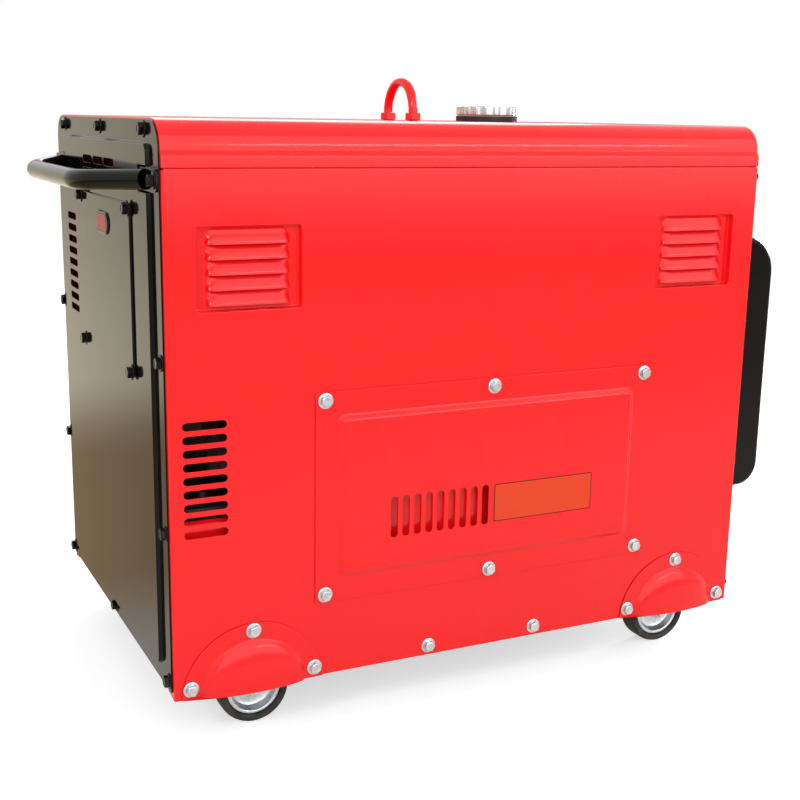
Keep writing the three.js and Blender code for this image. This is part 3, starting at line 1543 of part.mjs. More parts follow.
function alternatorHousing() {
  const left = alternatorFace - alternatorLength;
  const statorLeft = left + statorInset;
  const statorRight = statorLeft + statorLength;
  const inner = alternatorRadius - alternatorWall;
  const profile = [
    [crankBore, left],
    [alternatorEndRadius, left],
    [alternatorRadius, left + alternatorShoulder],
    [alternatorRadius, alternatorFace],
    [inner, alternatorFace],
    [inner, statorRight],
    [statorBore, statorRight],
    [statorBore, statorLeft],
    [inner, statorLeft],
    [inner, left + alternatorInnerShoulder],
    [alternatorEndInner, left + alternatorWall],
    [crankBore, left + alternatorWall],
  ];
  const shell = turned('x', profile, 0, crankHeight, 20);
  const foot = mountFoot(alternatorMountX, alternatorMountSpan);
  const [webLeft, webRight] = [alternatorMountX - footWidth / 2, alternatorMountX + footWidth / 2];
  const webTop = crankHeight - alternatorRadius + alternatorWebRise;
  const web = box(webLeft, webRight, -alternatorWebHalf, alternatorWebHalf, footBottom + 1, webTop);
  const space = disc('x', statorBore, left + alternatorWall, alternatorFace + 1, 0, crankHeight, 20);
  return join(foot, web).subtract(space).add(shell);
}

function alternatorRotor() {
  const left = alternatorFace - alternatorLength + rotorInset;
  return disc('x', rotorRadius, left, left + rotorLength, 0, crankHeight, 20)
    .subtract(disc('x', crankRadius + seat, left - 1, left + rotorLength + 1, 0, crankHeight));
}

function muffler() {
  const half = mufflerLength / 2;
  const headFace = crankcaseX + headSize / 2 + seat;
  const headMiddle = headBottom + headHeight / 2;
  const can = disc('y', mufflerRadius, -half, half, mufflerX, mufflerZ, 20);
  const pipe = disc('x', exhaustRadius, headFace, mufflerX, 0, headMiddle, 16);
  const [wide, tall] = [exhaustFlangeWidth / 2, exhaustFlangeHeight / 2];
  const flange = box(headFace, headFace + exhaustFlange, -wide, wide, headMiddle - tall, headMiddle + tall);
  const tailY = half - tailInset;
  const tailEnd = endFace + tailIntoHood;
  const boreStart = mufflerX + mufflerRadius + tailBoreStart;
  const tail = disc('x', tailRadius, mufflerX, tailEnd, tailY, mufflerZ, 16);
  const tailBore = disc('x', tailRadius - tailWall, boreStart, tailEnd + 1, tailY, mufflerZ, 16);
  return join(can, pipe, flange, tail).subtract(tailBore);
}

function airFilter() {
  const headSide = -headSize / 2 - seat;
  const near = headSide - intakeLength;
  const middle = headBottom + headHeight / 2;
  const can = disc('y', filterRadius, near, near - filterLength, crankcaseX, middle, 20);
  const intake = disc('y', intakeRadius, headSide, near - 1, crankcaseX, middle, 16);
  return can.add(intake);
}

function battery() {
  const x0 = -trayHalfLength + batteryInsetX;
  const y0 = -trayHalfWidth + batteryInsetY;
  const x1 = x0 + batteryLength;
  const floor = trayFloor + seat;
  const top = floor + batteryHeight;
  const caseSolid = slab('z', roundedBox(x0, x1, y0, y0 + batteryWidth, batteryCorner), floor, top);
  const posts = [x0 + batteryPostInset, x1 - batteryPostInset].map((x) => (
    disc('z', batteryPostRadius, top - 1, top + batteryPostHeight, x, y0 + batteryPostSetback)
  ));
  return join(caseSolid, ...posts);
}

function rubberMount() {
  return disc('z', mountRadius, 0, mountHeight, 0, 0, 20);
}

// ---- Put together -------------------------------------------------------------------------
add(generator, 'base_tray', baseTray(), blackPaint);
add(generator, 'front_panel', frontPanel(), redPaint);
add(generator, 'rear_panel', rearPanel(), redPaint);
add(generator, 'roof', roof(), redPaint);
add(generator, 'left_end_panel', leftEndPanel(), blackPaint);
add(generator, 'right_end_panel', rightEndPanel(), blackPaint);
add(generator, 'maintenance_cover', maintenanceCover(), redPaint);
add(generator, 'service_cover', serviceCover(), blackPaint);
add(generator, 'air_hood', hood(), blackPaint);
add(generator, 'carry_handle', handle(), blackPaint);
add(generator, 'lifting_eye', liftingEye(), redPaint);
for (const [side, name] of [[-1, 'front'], [1, 'rear']]) {
  const place = groupAt(generator, eyeX, side * eyeHalfSpan, crestHeight + seat);
  add(place, `lifting_nut_${name}`, liftingNut(), redPaint);
}
add(generator, 'lifting_frame', liftingFrame(), blackPaint);
add(generator, 'fuel_tank', fuelTank(), darkSteel);
add(generator, 'cap_gasket', capGasket(), rubber);
add(generator, 'fuel_cap', fuelCap(), chrome);
add(generator, 'control_panel', controlPanel(), greyPlate);
add(generator, 'voltmeter', voltmeter(), plastic);
add(generator, 'voltmeter_needle', voltmeterNeedle(), redPlastic);
add(generator, 'breaker', breaker(), whitePlastic);
add(generator, 'breaker_toggle', breakerToggle(), plastic);
add(generator, 'key_switch', keySwitch(), chrome);
add(generator, 'ignition_key', ignitionKey(), zinc);
for (const [name, z] of Object.entries(socketHeights)) {
  const place = groupAt(generator, socketX, controlFace + seat, z);
  add(place, `socket_${name}`, socketOutlet(), bluePlastic);
  add(groupAt(place, 0, lidAxisY, lidAxisZ), `socket_lid_${name}`, socketLid(), bluePlastic);
}
add(generator, 'terminal_block', terminalBlock(), redPlastic);
add(generator, 'service_door', serviceDoor(), redPaint);
add(generator, 'door_latch', doorLatch(), zinc);
add(generator, 'engine_block', engineBlock(), castAluminium);
add(generator, 'cylinder_head', cylinderHead(), castAluminium);
add(generator, 'crankshaft', crankshaft(), darkSteel);
add(generator, 'flywheel_fan', flywheelFan(), darkSteel);
add(generator, 'alternator_housing', alternatorHousing(), castAluminium);
add(generator, 'alternator_rotor', alternatorRotor(), darkSteel);
add(generator, 'muffler', muffler(), darkSteel);
add(generator, 'air_filter', airFilter(), plastic);
add(generator, 'battery', battery(), plastic);
for (const [side, name] of [[-1, 'front'], [1, 'rear']]) {
  const floor = trayFloor + seat;
  const engineSide = groupAt(generator, engineMountX, side * engineMountSpan, floor);
  add(engineSide, `engine_mount_${name}`, rubberMount(), rubber);
  const alternatorSide = groupAt(generator, alternatorMountX, side * alternatorMountSpan, floor);
  add(alternatorSide, `alternator_mount_${name}`, rubberMount(), rubber);
}
eachCorner((end, side, name) => {
  const arch = groupAt(generator, end * swivelX, side * (halfWidth + seat), 0);
  add(arch, `wheel_cover_${name}`, wheelCover(side), redPaint);
  const swivel = groupAt(generator, end * swivelX, side * swivelY, 0);
  add(swivel, `caster_fork_${name}`, casterFork(), zinc);
  const hub = groupAt(swivel, casterTrail, 0, -hubDrop);
  add(hub, `wheel_rim_${name}`, rim(), zinc);
  add(hub, `tyre_${name}`, tyre(), rubber);
});

export default generator;
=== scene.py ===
"""Looks of the portable generator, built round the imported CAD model.

Shapes are written in the enclosure's own frame, in millimetres: X along the enclosure from
its middle, Y across it, Z up from the side panels' bottom edge. `finish` and `world` turn
them into metres in the model's frame.
"""
import json
import math

import bmesh
import bpy
from mathutils import Matrix, Vector
from mathutils.geometry import delaunay_2d_cdt

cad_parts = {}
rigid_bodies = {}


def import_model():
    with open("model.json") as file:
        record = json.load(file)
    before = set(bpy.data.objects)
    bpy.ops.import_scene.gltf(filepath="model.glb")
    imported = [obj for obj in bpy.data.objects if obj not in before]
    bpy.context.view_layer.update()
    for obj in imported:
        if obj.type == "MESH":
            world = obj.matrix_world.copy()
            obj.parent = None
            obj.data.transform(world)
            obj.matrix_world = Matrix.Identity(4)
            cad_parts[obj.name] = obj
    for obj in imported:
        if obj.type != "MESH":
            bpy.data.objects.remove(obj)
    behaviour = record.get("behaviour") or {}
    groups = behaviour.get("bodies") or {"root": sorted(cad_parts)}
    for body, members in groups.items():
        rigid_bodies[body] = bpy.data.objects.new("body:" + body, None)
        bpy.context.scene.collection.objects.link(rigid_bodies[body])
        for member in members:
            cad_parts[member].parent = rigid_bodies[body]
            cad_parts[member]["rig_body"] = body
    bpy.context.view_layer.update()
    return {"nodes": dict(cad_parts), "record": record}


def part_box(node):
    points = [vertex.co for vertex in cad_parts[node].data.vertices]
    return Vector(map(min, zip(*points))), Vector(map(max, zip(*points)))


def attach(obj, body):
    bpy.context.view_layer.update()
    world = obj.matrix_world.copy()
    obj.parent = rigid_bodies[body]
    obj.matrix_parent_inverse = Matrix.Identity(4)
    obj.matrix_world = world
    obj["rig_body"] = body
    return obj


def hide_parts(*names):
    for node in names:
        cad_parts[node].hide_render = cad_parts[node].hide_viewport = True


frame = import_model()

MM = 0.001
panel_low, panel_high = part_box("front_panel")
ORIGIN = Vector(((panel_low.x + panel_high.x) / 2, 0, panel_low.z))

# ---- Dimensions of the CAD model ----------------------------------------------------------
SHEET = 1.5
SEAT = 0.3
HALF_L = 390.0
HALF_W = 263.0
WALL_Z = 588.0
CREST_Z = 638.0
ROOF_BEND = 31.0
ROOF_SHOULDER = 4.5
END_FACE = HALF_L + SEAT + SHEET
SWIVEL_X = HALF_L - 93
SWIVEL_Y = HALF_W - 61
TRAIL = 17.0
HUB_Z = -25.0
EYE_X = 6.0
EYE_HALF = 37.5
CAP_X = 137.0
HANDLE_Z = 575.0
CONTROL_FACE = HALF_W - SHEET - SEAT
SEAM_LIP = 14.0  # flanges along the seam between the roof and the side panels
END_BOLT_INSET = 14.0
VENT_LENGTH, VENT_WIDTH, VENT_PITCH, VENT_COUNT = 50.0, 9.0, 15.25, 9

def world(x, y, z):
    return Vector((x, y, z)) * MM + ORIGIN


# ---- Materials ----------------------------------------------------------------------------
def linear(*srgb):
    """Linear colour of 0-255 sRGB values."""
    out = []
    for level in srgb:
        s = level / 255
        out.append(s / 12.92 if s <= 0.04045 else ((s + 0.055) / 1.055) ** 2.4)
    return (*out, 1.0)


def add_node(tree, kind, inputs, output=0, **settings):
    """A shader node's output; each input gets a value or another node's socket."""
    node = tree.nodes.new("ShaderNode" + kind)
    for name, value in settings.items():
        setattr(node, name, value)
    for name, value in inputs.items():
        if isinstance(value, bpy.types.NodeSocket):
            tree.links.new(value, node.inputs[name])
        else:
            node.inputs[name].default_value = value
    return node.outputs[output]


MIX_FACTOR, MIX_FIRST, MIX_SECOND, MIX_RESULT = 0, 6, 7, 2  # the Mix node's sockets for colours


def mix_colours(tree, factor, first, second):
    """A colour between two; each may be a value or a socket."""
    inputs = {MIX_FACTOR: factor, MIX_FIRST: first, MIX_SECOND: second}
    return add_node(tree, "Mix", inputs, MIX_RESULT, data_type="RGBA")


class Shader:
    """A Principled material and short ways to add procedural detail to it."""

    def __init__(self, name, metallic=0.0, coat=0.0, coat_roughness=0.05, specular=0.5):
        self.material = bpy.data.materials.new(name)
        self.material.use_nodes = True
        self.tree = self.material.node_tree
        self.bsdf = self.tree.nodes["Principled BSDF"]
        for socket, value in (("Metallic", metallic), ("Coat Weight", coat), ("IOR", 1.5),
                              ("Coat Roughness", coat_roughness), ("Specular IOR Level", specular)):
            self.bsdf.inputs[socket].default_value = value
        self.place = add_node(self.tree, "TexCoord", {}, "Object")

    def point(self, scale):
        return add_node(self.tree, "Mapping", {"Scale": scale, "Vector": self.place})

    def noise(self, scale, detail=3.0, stretch=(1, 1, 1)):
        inputs = {"Scale": scale, "Detail": detail, "Roughness": 0.5, "Vector": self.point(stretch)}
        return add_node(self.tree, "TexNoise", inputs, "Fac")

    def cells(self, scale):
        inputs = {"Scale": scale, "Vector": self.point((1, 1, 1))}
        return add_node(self.tree, "TexVoronoi", inputs, "Distance", feature="F1")

    def span(self, value, low, high, from_low=0.3, from_high=0.7):
        inputs = {"Value": value, "From Min": from_low, "From Max": from_high, "To Min": low, "To Max": high}
        return add_node(self.tree, "MapRange", inputs, "Result")

    def blend(self, value, first, second):
        return mix_colours(self.tree, value, first, second)

    def dress(self, colour, smears, rough, grain, relief, strength, coat=False):
        """Gives the material its colour, its uneven roughness and its fine relief."""
        bump = {"Distance": relief, "Strength": strength, "Height": grain}
        normal = add_node(self.tree, "Bump", bump, "Normal")
        links = [(colour, "Base Color"), (self.span(smears, *rough), "Roughness"), (normal, "Normal")]
        if coat:
            links.append((normal, "Coat Normal"))
        for socket, name in links:
            self.tree.links.new(socket, self.bsdf.inputs[name])
        return self.material


def gloss_paint(name, lit, deep, coat, rough, peel, specular):
    shader = Shader(name, coat=coat, coat_roughness=0.13, specular=specular)
    colour = shader.blend(shader.span(shader.noise(2.2, 2), 0, 1), lit, deep)
    smears = shader.noise(9, 5, (1, 1, 0.35))
    return shader.dress(colour, smears, rough, shader.noise(240, 2), peel, 0.2, coat=True)


def metal(name, bright, dull, rough, grain, stretch=(1, 1, 1), relief=0.0001):
    shader = Shader(name, metallic=1.0)
    colour = shader.blend(shader.span(shader.noise(35, 4), 0, 1), bright, dull)
    smears = shader.noise(grain, 4, stretch)
    return shader.dress(colour, smears, rough, shader.noise(grain * 1.4, 3, stretch), relief, 0.4)


def moulded(name, light, dark, rough, grain=900, relief=0.00012):
    shader = Shader(name)
    colour = shader.blend(shader.span(shader.noise(14, 3), 0, 1), light, dark)
    return shader.dress(colour, shader.noise(60, 3), rough, shader.noise(grain, 2), relief, 0.5)


def spangled_zinc():
    shader = Shader("zinc_plated_steel", metallic=1.0)
    flakes = shader.span(shader.cells(190), 0, 1, 0.1, 0.7)
    tint = shader.blend(flakes, linear(214, 221, 224), linear(190, 202, 208))
    dust = shader.span(shader.noise(60, 4), 0, 0.3, 0.45, 0.7)
    colour = shader.blend(dust, tint, linear(150, 146, 136))
    return shader.dress(colour, shader.noise(130, 4), (0.2, 0.42), shader.noise(500, 3), 0.0001, 0.35)


def cast_metal(name, light, dark):
    shader = Shader(name, metallic=0.85)
    oily = shader.span(shader.noise(11, 5), 0, 1, 0.4, 0.75)
    colour = shader.blend(oily, light, dark)
    return shader.dress(colour, shader.noise(120, 5), (0.42, 0.72), shader.noise(420, 4), 0.0006, 0.6)


def exhaust_steel():
    shader = Shader("heat_tinted_steel", metallic=0.9)
    heat = shader.span(shader.noise(6, 3), 0, 1)
    tint = shader.blend(heat, linear(96, 92, 88), linear(120, 92, 66))
    soot = shader.span(shader.noise(30, 5), 0, 1, 0.5, 0.8)
    colour = shader.blend(soot, tint, linear(38, 36, 36))
    return shader.dress(colour, shader.noise(80, 4), (0.45, 0.75), shader.noise(300, 4), 0.0003, 0.5)


def rubber_compound(name, rough, dust_amount):
    shader = Shader(name, specular=0.35)
    dust = shader.span(shader.noise(55, 5), 0, dust_amount, 0.45, 0.75)
    colour = shader.blend(dust, linear(34, 33, 33), linear(104, 96, 86))
    return shader.dress(colour, shader.noise(90, 4), rough, shader.noise(700, 4), 0.0003, 0.6)


def printed_label(name, colour, faded):
    """A vinyl label: plain colour, a little faded in patches."""
    shader = Shader(name, specular=0.2)
    mottled = shader.blend(shader.span(shader.noise(18, 3), 0, 0.5), colour, faded)
    return shader.dress(mottled, shader.noise(300, 3), (0.28, 0.4), shader.noise(500, 2), 0.00008, 0.3)


RED = gloss_paint(
    "red_gloss_paint", linear(238, 18, 22), linear(232, 16, 20),
    coat=0.75, rough=(0.2, 0.32), peel=0.00001, specular=0.02)
BLACK = gloss_paint(
    "black_gloss_paint", linear(13, 11, 8), linear(9, 8, 6),
    coat=0.0, rough=(0.07, 0.12), peel=0.00001, specular=0.17)
ZINC = spangled_zinc()
CHROME = metal(
    "chrome_plate", linear(216, 216, 214), linear(186, 186, 182), (0.1, 0.24), 300, relief=0.00005)
CAST = cast_metal("cast_aluminium", linear(172, 174, 176), linear(112, 110, 106))
STEEL = metal("dark_steel", linear(92, 94, 98), linear(58, 58, 60), (0.35, 0.6), 260, (1, 1, 6))
EXHAUST = exhaust_steel()
RUBBER = rubber_compound("moulded_rubber", (0.55, 0.8), 0.35)
TYRE = rubber_compound("tyre_rubber", (0.5, 0.75), 0.5)
PLASTIC = moulded("black_plastic", linear(32, 32, 34), linear(24, 24, 25), (0.42, 0.6))
GREY = moulded("grey_powder_coat", linear(96, 100, 104), linear(84, 88, 92), (0.5, 0.66), 1300, 0.0002)
WHITE = moulded("white_plastic", linear(228, 228, 220), linear(214, 213, 203), (0.4, 0.55))
REDPLASTIC = moulded("red_plastic", linear(196, 26, 26), linear(176, 22, 22), (0.36, 0.5))
BLUE = moulded("blue_plastic", linear(32, 84, 168), linear(26, 70, 146), (0.38, 0.52))
ORANGE_LABEL = printed_label("blank_orange_label", linear(222, 66, 30), linear(212, 70, 36))
LABEL_EDGE = printed_label("label_border", linear(48, 22, 20), linear(60, 30, 26))
RED_LABEL = printed_label("blank_red_label", linear(176, 22, 24), linear(160, 26, 28))
DIAL = printed_label("dial_face", linear(236, 236, 230), linear(226, 224, 214))

FINISH = {
    "red_paint": RED, "black_paint": BLACK, "zinc": ZINC, "chrome": CHROME, "cast_aluminium": CAST,
    "dark_steel": STEEL, "rubber": RUBBER, "tyre": TYRE, "black_plastic": PLASTIC, "grey_plate": GREY,
    "white_plastic": WHITE, "red_plastic": REDPLASTIC, "blue_plastic": BLUE,
}
SLOT = {material.name: slot for slot, material in FINISH.items()}
SLOT.update({
    EXHAUST.name: "dark_steel", ORANGE_LABEL.name: "red_plastic", RED_LABEL.name: "red_plastic",
    LABEL_EDGE.name: "black_plastic", DIAL.name: "white_plastic",
})


# ---- Meshes -------------------------------------------------------------------------------
MERGE = 2e-3  # points nearer to each other than this are one


def modifier(obj, kind, **settings):
    made = obj.modifiers.new(kind.lower(), kind)
    for name, value in settings.items():
        setattr(made, name, value)


def settle(obj):
    """Turns an object's modifiers into mesh."""
    graph = bpy.context.evaluated_depsgraph_get()
    graph.update()
    mesh = bpy.data.meshes.new_from_object(obj.evaluated_get(graph))
    obj.modifiers.clear()
    old = obj.data
    obj.data = mesh
    bpy.data.meshes.remove(old)


def shade(obj, angle):
    """Smooth shading that stops at sharp edges, with big faces kept flat."""
    mesh = obj.data
    mesh.polygons.foreach_set("use_smooth", [True] * len(mesh.polygons))
    mesh.set_sharp_from_angle(angle=math.radians(angle))
    modifier(obj, "WEIGHTED_NORMAL", mode="FACE_AREA", weight=80, keep_sharp=True)


def round_edges(obj, width, sharpest):
    """Bevels the edges that turn by more than an angle in degrees."""
    modifier(obj, "BEVEL", width=width * MM, segments=2, limit_method="ANGLE",
             angle_limit=math.radians(sharpest), use_clamp_overlap=True)


def new_object(name, bm, material):
    mesh = bpy.data.meshes.new(name)
    bm.to_mesh(mesh)
    bm.free()
    obj = bpy.data.objects.new(name, mesh)
    bpy.context.scene.collection.objects.link(obj)
    mesh.materials.append(material)
    return obj


def outward(bm, inner):
    """Turns an open shell's faces away from a point inside it."""
    bmesh.ops.recalc_face_normals(bm, faces=bm.faces)
    bm.normal_update()
    if sum(f.calc_area() * f.normal.dot(f.calc_center_median() - inner) for f in bm.faces) < 0:
        bmesh.ops.reverse_faces(bm, faces=bm.faces)


def place_piece(obj, body, nodes):
    """Says which body a piece rides on and which CAD nodes it replaces."""
    if body is None:
        body = frame["nodes"][nodes[0]]["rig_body"] if nodes else "enclosure"
    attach(obj, body)
    if nodes:
        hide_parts(*nodes)


def finish(name, bm, material, body=None, nodes=(), bevel=0.0, angle=38, thick=0.0, inner=None, even=True):
    """A finished piece of a mesh in millimetres: thickness, rounded edges, shading, body and nodes."""
    if inner:
        outward(bm, Vector(inner))
    elif not thick:
        bmesh.ops.recalc_face_normals(bm, faces=bm.faces)
    bmesh.ops.transform(bm, matrix=Matrix.Translation(ORIGIN) @ Matrix.Scale(MM, 4), verts=bm.verts)
    obj = new_object(name, bm, material)
    if thick:
        modifier(obj, "SOLIDIFY", thickness=thick * MM, offset=-1, use_even_offset=even,
                 thickness_clamp=0, use_quality_normals=True)
    if bevel:
        round_edges(obj, bevel, 32)
    if thick or bevel:
        settle(obj)
    shade(obj, angle)
    place_piece(obj, body, nodes)


def axes(axis, side):
    """Where (u, v, outward) point for a face across an axis, and whether that mirrors."""
    if axis == "y":
        return Vector((1, 0, 0)), Vector((0, 0, 1)), Vector((0, side, 0)), side > 0
    if axis == "x":
        return Vector((0, 1, 0)), Vector((0, 0, 1)), Vector((side, 0, 0)), side < 0
    return Vector((1, 0, 0)), Vector((0, 1, 0)), Vector((0, 0, side)), side < 0


def arc(cu, cv, radius, start, stop, steps):
    """Points on an arc, both ends included; angles in degrees."""
    out = []
    for k in range(steps + 1):
        angle = math.radians(start + (stop - start) * k / steps)
        out.append((cu + radius * math.cos(angle), cv + radius * math.sin(angle)))
    return out


def circle(cu, cv, radius, count):
    return arc(cu, cv, radius, 0, 360, count)[:-1]


def rounded(u0, u1, v0, v1, radius, steps=5):
    """A rectangle with round corners, counter-clockwise."""
    r = max(radius, 0.05)
    return (arc(u1 - r, v0 + r, r, -90, 0, steps) + arc(u1 - r, v1 - r, r, 0, 90, steps)
            + arc(u0 + r, v1 - r, r, 90, 180, steps) + arc(u0 + r, v0 + r, r, 180, 270, steps))


class Area:
    """A rectangle in a face's plane, and round-cornered outlines drawn in from it."""

    def __init__(self, cu, cv, width, height):
        self.u, self.v, self.width, self.height = cu, cv, width, height

    def outline(self, radius, inset=0.0, steps=5):
        across, up = self.width / 2, self.height / 2
        return rounded(self.u - across + inset, self.u + across - inset,
                       self.v - up + inset, self.v + up - inset, radius, steps)

    def shrunk(self, lap_u, lap_v):
        return Area(self.u, self.v, self.width - 2 * lap_u, self.height - 2 * lap_v)

    def corners(self, inset_u, inset_v):
        """Points set in from the corners."""
        across, up = self.width / 2 - inset_u, self.height / 2 - inset_v
        return [(self.u + a * across, self.v + b * up) for a in (-1, 1) for b in (-1, 1)]


def slot_outline(cu, cv, length, width, upright=False, grow=0.0):
    half = width / 2 + grow
    reach = length / 2 - width / 2
    lying = arc(reach, 0, half, -90, 90, 8) + arc(-reach, 0, half, 90, 270, 8)
    if upright:
        return [(cu - b, cv + a) for a, b in lying]
    return [(cu + a, cv + b) for a, b in lying]


def inside(loop, u, v):
    hit = False
    last = loop[-1]
    for here in loop:
        if (here[1] > v) != (last[1] > v):
            cross = (last[0] - here[0]) * (v - here[1]) / (last[1] - here[1]) + here[0]
            if u < cross:
                hit = not hit
        last = here
    return hit


class Plate:
    """A pressed sheet. Loops drawn in its plane each have a height; what lies between two
    loops is a smooth wall, and what lies inside a hole is left out."""

    def __init__(self, outline, height=0.0):
        self.outline = outline
        self.loops = [(outline, height)]
        self.holes = []
        self.extra = []

    def step(self, outline, height):
        self.loops.append((outline, height))

    def steps(self, shape, levels):
        for inset, height in levels:
            self.step(shape(inset), height)

    def press(self, shape, start, depth, radius, draft, steps=4):
        """A pressing: shape(inset) gives its outline. Both of its bends are round."""
        sign = 1 if depth > 0 else -1
        turn = [math.radians(90 * k / steps) for k in range(steps + 1)]
        for a in turn:
            self.step(shape(-radius * (1 - math.sin(a))), start + sign * radius * (1 - math.cos(a)))
        for a in turn:
            self.step(shape(draft + radius * (1 - math.cos(a))),
                      start + depth - sign * radius * (1 - math.sin(a)))

    def vents(self, places, height=0.0, upright=False, lip=0.35):
        """Ventilation slots with slightly rounded edges."""
        for u, v in places:
            for grow, drop in ((lip, 0.0), (lip * 0.3, lip * 0.3), (0.0, lip)):
                self.step(slot_outline(u, v, VENT_LENGTH, VENT_WIDTH, upright, grow), height - drop)
            self.holes.append(self.loops[-1][0])

    def cut(self, outline, height=0.0):
        self.step(outline, height)
        self.holes.append(outline)

    def mesh(self, axis, side, face, bm=None):
        bm = bm or bmesh.new()
        points, heights, edges = [], [], []
        for loop, height in self.loops:
            first = len(points)
            points += [Vector(p) for p in loop]
            heights += [height] * len(loop)
            edges += [(first + k, first + (k + 1) % len(loop)) for k in range(len(loop))]
        for outline, strip in self.extra:
            first = len(points)
            points += [Vector(p) for p in outline]
            heights += strip
            edges += [(first + k, first + k + 1) for k in range(len(outline) - 1)]
        flat, _, faces, origin, _, _ = delaunay_2d_cdt(points, edges, [], 0, 1e-4)
        boxes = []
        for hole in self.holes:
            us, vs = zip(*hole)
            boxes.append((min(us), max(us), min(vs), max(vs), hole))
        u_axis, v_axis, out, mirrored = axes(axis, side)
        verts = {}

        def vertex(k):
            if k not in verts:
                height = heights[origin[k][0]] if origin[k] else 0.0
                p = flat[k]
                verts[k] = bm.verts.new(u_axis * p[0] + v_axis * p[1] + out * (face + height))
            return verts[k]

        for tri in faces:
            u = sum(flat[k][0] for k in tri) / len(tri)
            v = sum(flat[k][1] for k in tri) / len(tri)
            if not inside(self.outline, u, v):
                continue
            if any(a < u < b and c < v < d and inside(h, u, v) for a, b, c, d, h in boxes):
                continue
            corners = [vertex(k) for k in tri]
            if mirrored:
                corners.reverse()
            bm.faces.new(corners)
        return bm


def grid(bm, rows, closed_u=False, flip=False):
    """Quads between rows of points."""
    made = [[bm.verts.new(p) for p in row] for row in rows]
    for first, second in zip(made, made[1:]):
        count = len(first)
        for k in range(count if closed_u else count - 1):
            corners = [first[k], first[(k + 1) % count], second[(k + 1) % count], second[k]]
            if flip:
                corners.reverse()
            bm.faces.new(corners)
    return made


def stack(bm, rings):
    """A closed solid through rings of equal count."""
    made = grid(bm, rings, closed_u=True)
    bm.faces.new(list(reversed(made[0])))
    bm.faces.new(made[-1])


def ring3(axis, side, along, outline):
    u_axis, v_axis, out, _ = axes(axis, side)
    return [u_axis * u + v_axis * v + out * along for u, v in outline]


def lathe(bm, axis, cu, cv, profile, count=48, wave=None, base=0.0):
    """Turns a (radius, along) profile about an axis through (cu, cv)."""
    rings = []
    for k, (radius, along) in enumerate(profile):
        outline = []
        for j in range(count):
            angle = 2 * math.pi * (j + 0.5) / count
            r = radius + (wave(k, angle) if wave else 0.0)
            outline.append((cu + r * math.cos(angle), cv + r * math.sin(angle)))
        rings.append(ring3(axis, 1, base + along, outline))
    stack(bm, rings)


def tube_of(bm, axis, cu, cv, profile, count=48, base=0.0):
    """A closed ring: like lathe, but the profile goes all the way round a hole."""
    turn = [2 * math.pi * (j + 0.5) / count for j in range(count)]
    rings = []
    for radius, along in profile + profile[:1]:
        outline = [(cu + radius * math.cos(a), cv + radius * math.sin(a)) for a in turn]
        rings.append(ring3(axis, 1, base + along, outline))
    made = grid(bm, rings, closed_u=True)
    bmesh.ops.remove_doubles(bm, verts=[v for row in made for v in row], dist=1e-4)


def block(bm, x0, x1, y0, y1, z0, z1):
    stack(bm, [[Vector((x, y, z)) for x, y in ((x0, y0), (x1, y0), (x1, y1), (x0, y1))] for z in (z0, z1)])


def sweep(bm, points, radius, count=28):
    """A round bar along points, with flat ends."""
    rings = []
    normal = None
    for k, here in enumerate(points):
        ahead = points[min(k + 1, len(points) - 1)] - points[max(k - 1, 0)]
        along = ahead.normalized()
        if normal is None:
            normal = along.orthogonal().normalized()
        normal = (normal - along * normal.dot(along)).normalized()
        across = along.cross(normal)
        rings.append([here + (normal * math.cos(a) + across * math.sin(a)) * radius
                      for a in (2 * math.pi * j / count for j in range(count))])
    stack(bm, rings)


def hexagon_about(u, v, radius, turn=0.0):
    angles = [turn + k * math.pi / 3 for k in range(6)]
    return [(u + radius * math.cos(a), v + radius * math.sin(a)) for a in angles]


BOLT_ACROSS, BOLT_FLANGE, BOLT_FLANGE_T, BOLT_HEAD = 12.0, 9.2, 1.6, 5.0
BOLT_CORNER, BOLT_TOP = BOLT_ACROSS / math.sqrt(3), BOLT_FLANGE_T + BOLT_HEAD
BOLT_FLANGE_PROFILE = [
    (BOLT_FLANGE - 0.3, 0), (BOLT_FLANGE, 0.25), (BOLT_FLANGE - 0.1, 0.75), (BOLT_FLANGE - 0.8, 1.15),
    (BOLT_FLANGE * 0.76, BOLT_FLANGE_T)]
BOLT_HEAD_PROFILE = [
    (BOLT_CORNER, 0.5), (BOLT_CORNER, BOLT_TOP - 0.9), (BOLT_CORNER - 0.28, BOLT_TOP - 0.45),
    (BOLT_CORNER * 0.84, BOLT_TOP), (BOLT_CORNER * 0.62, BOLT_TOP), (BOLT_CORNER * 0.56, BOLT_TOP - 0.35)]


def bolts(name, places, material):
    """Flange bolts' heads as one piece: places are (axis, side, face, u, v)."""
    bm = bmesh.new()
    for k, (axis, side, face, u, v) in enumerate(places):
        turn = (k * 2.399) % (math.pi / 3)
        stack(bm, [ring3(axis, side, face + h, circle(u, v, r, 32)) for r, h in BOLT_FLANGE_PROFILE])
        stack(bm, [ring3(axis, side, face + h, hexagon_about(u, v, r, turn)) for r, h in BOLT_HEAD_PROFILE])
    finish(name, bm, material, angle=32)


def prism(bm, axis, outline, start, stop, side=1):
    stack(bm, [ring3(axis, side, along, outline) for along in (start, stop)])


def hex_nut(bm, u, v, low, high, across):
    corner = across / math.sqrt(3)
    levels = ((0.92, low), (1.0, low + 0.8), (1.0, high - 0.8), (0.92, high))
    stack(bm, [ring3("z", 1, along, hexagon_about(u, v, corner * share)) for share, along in levels])


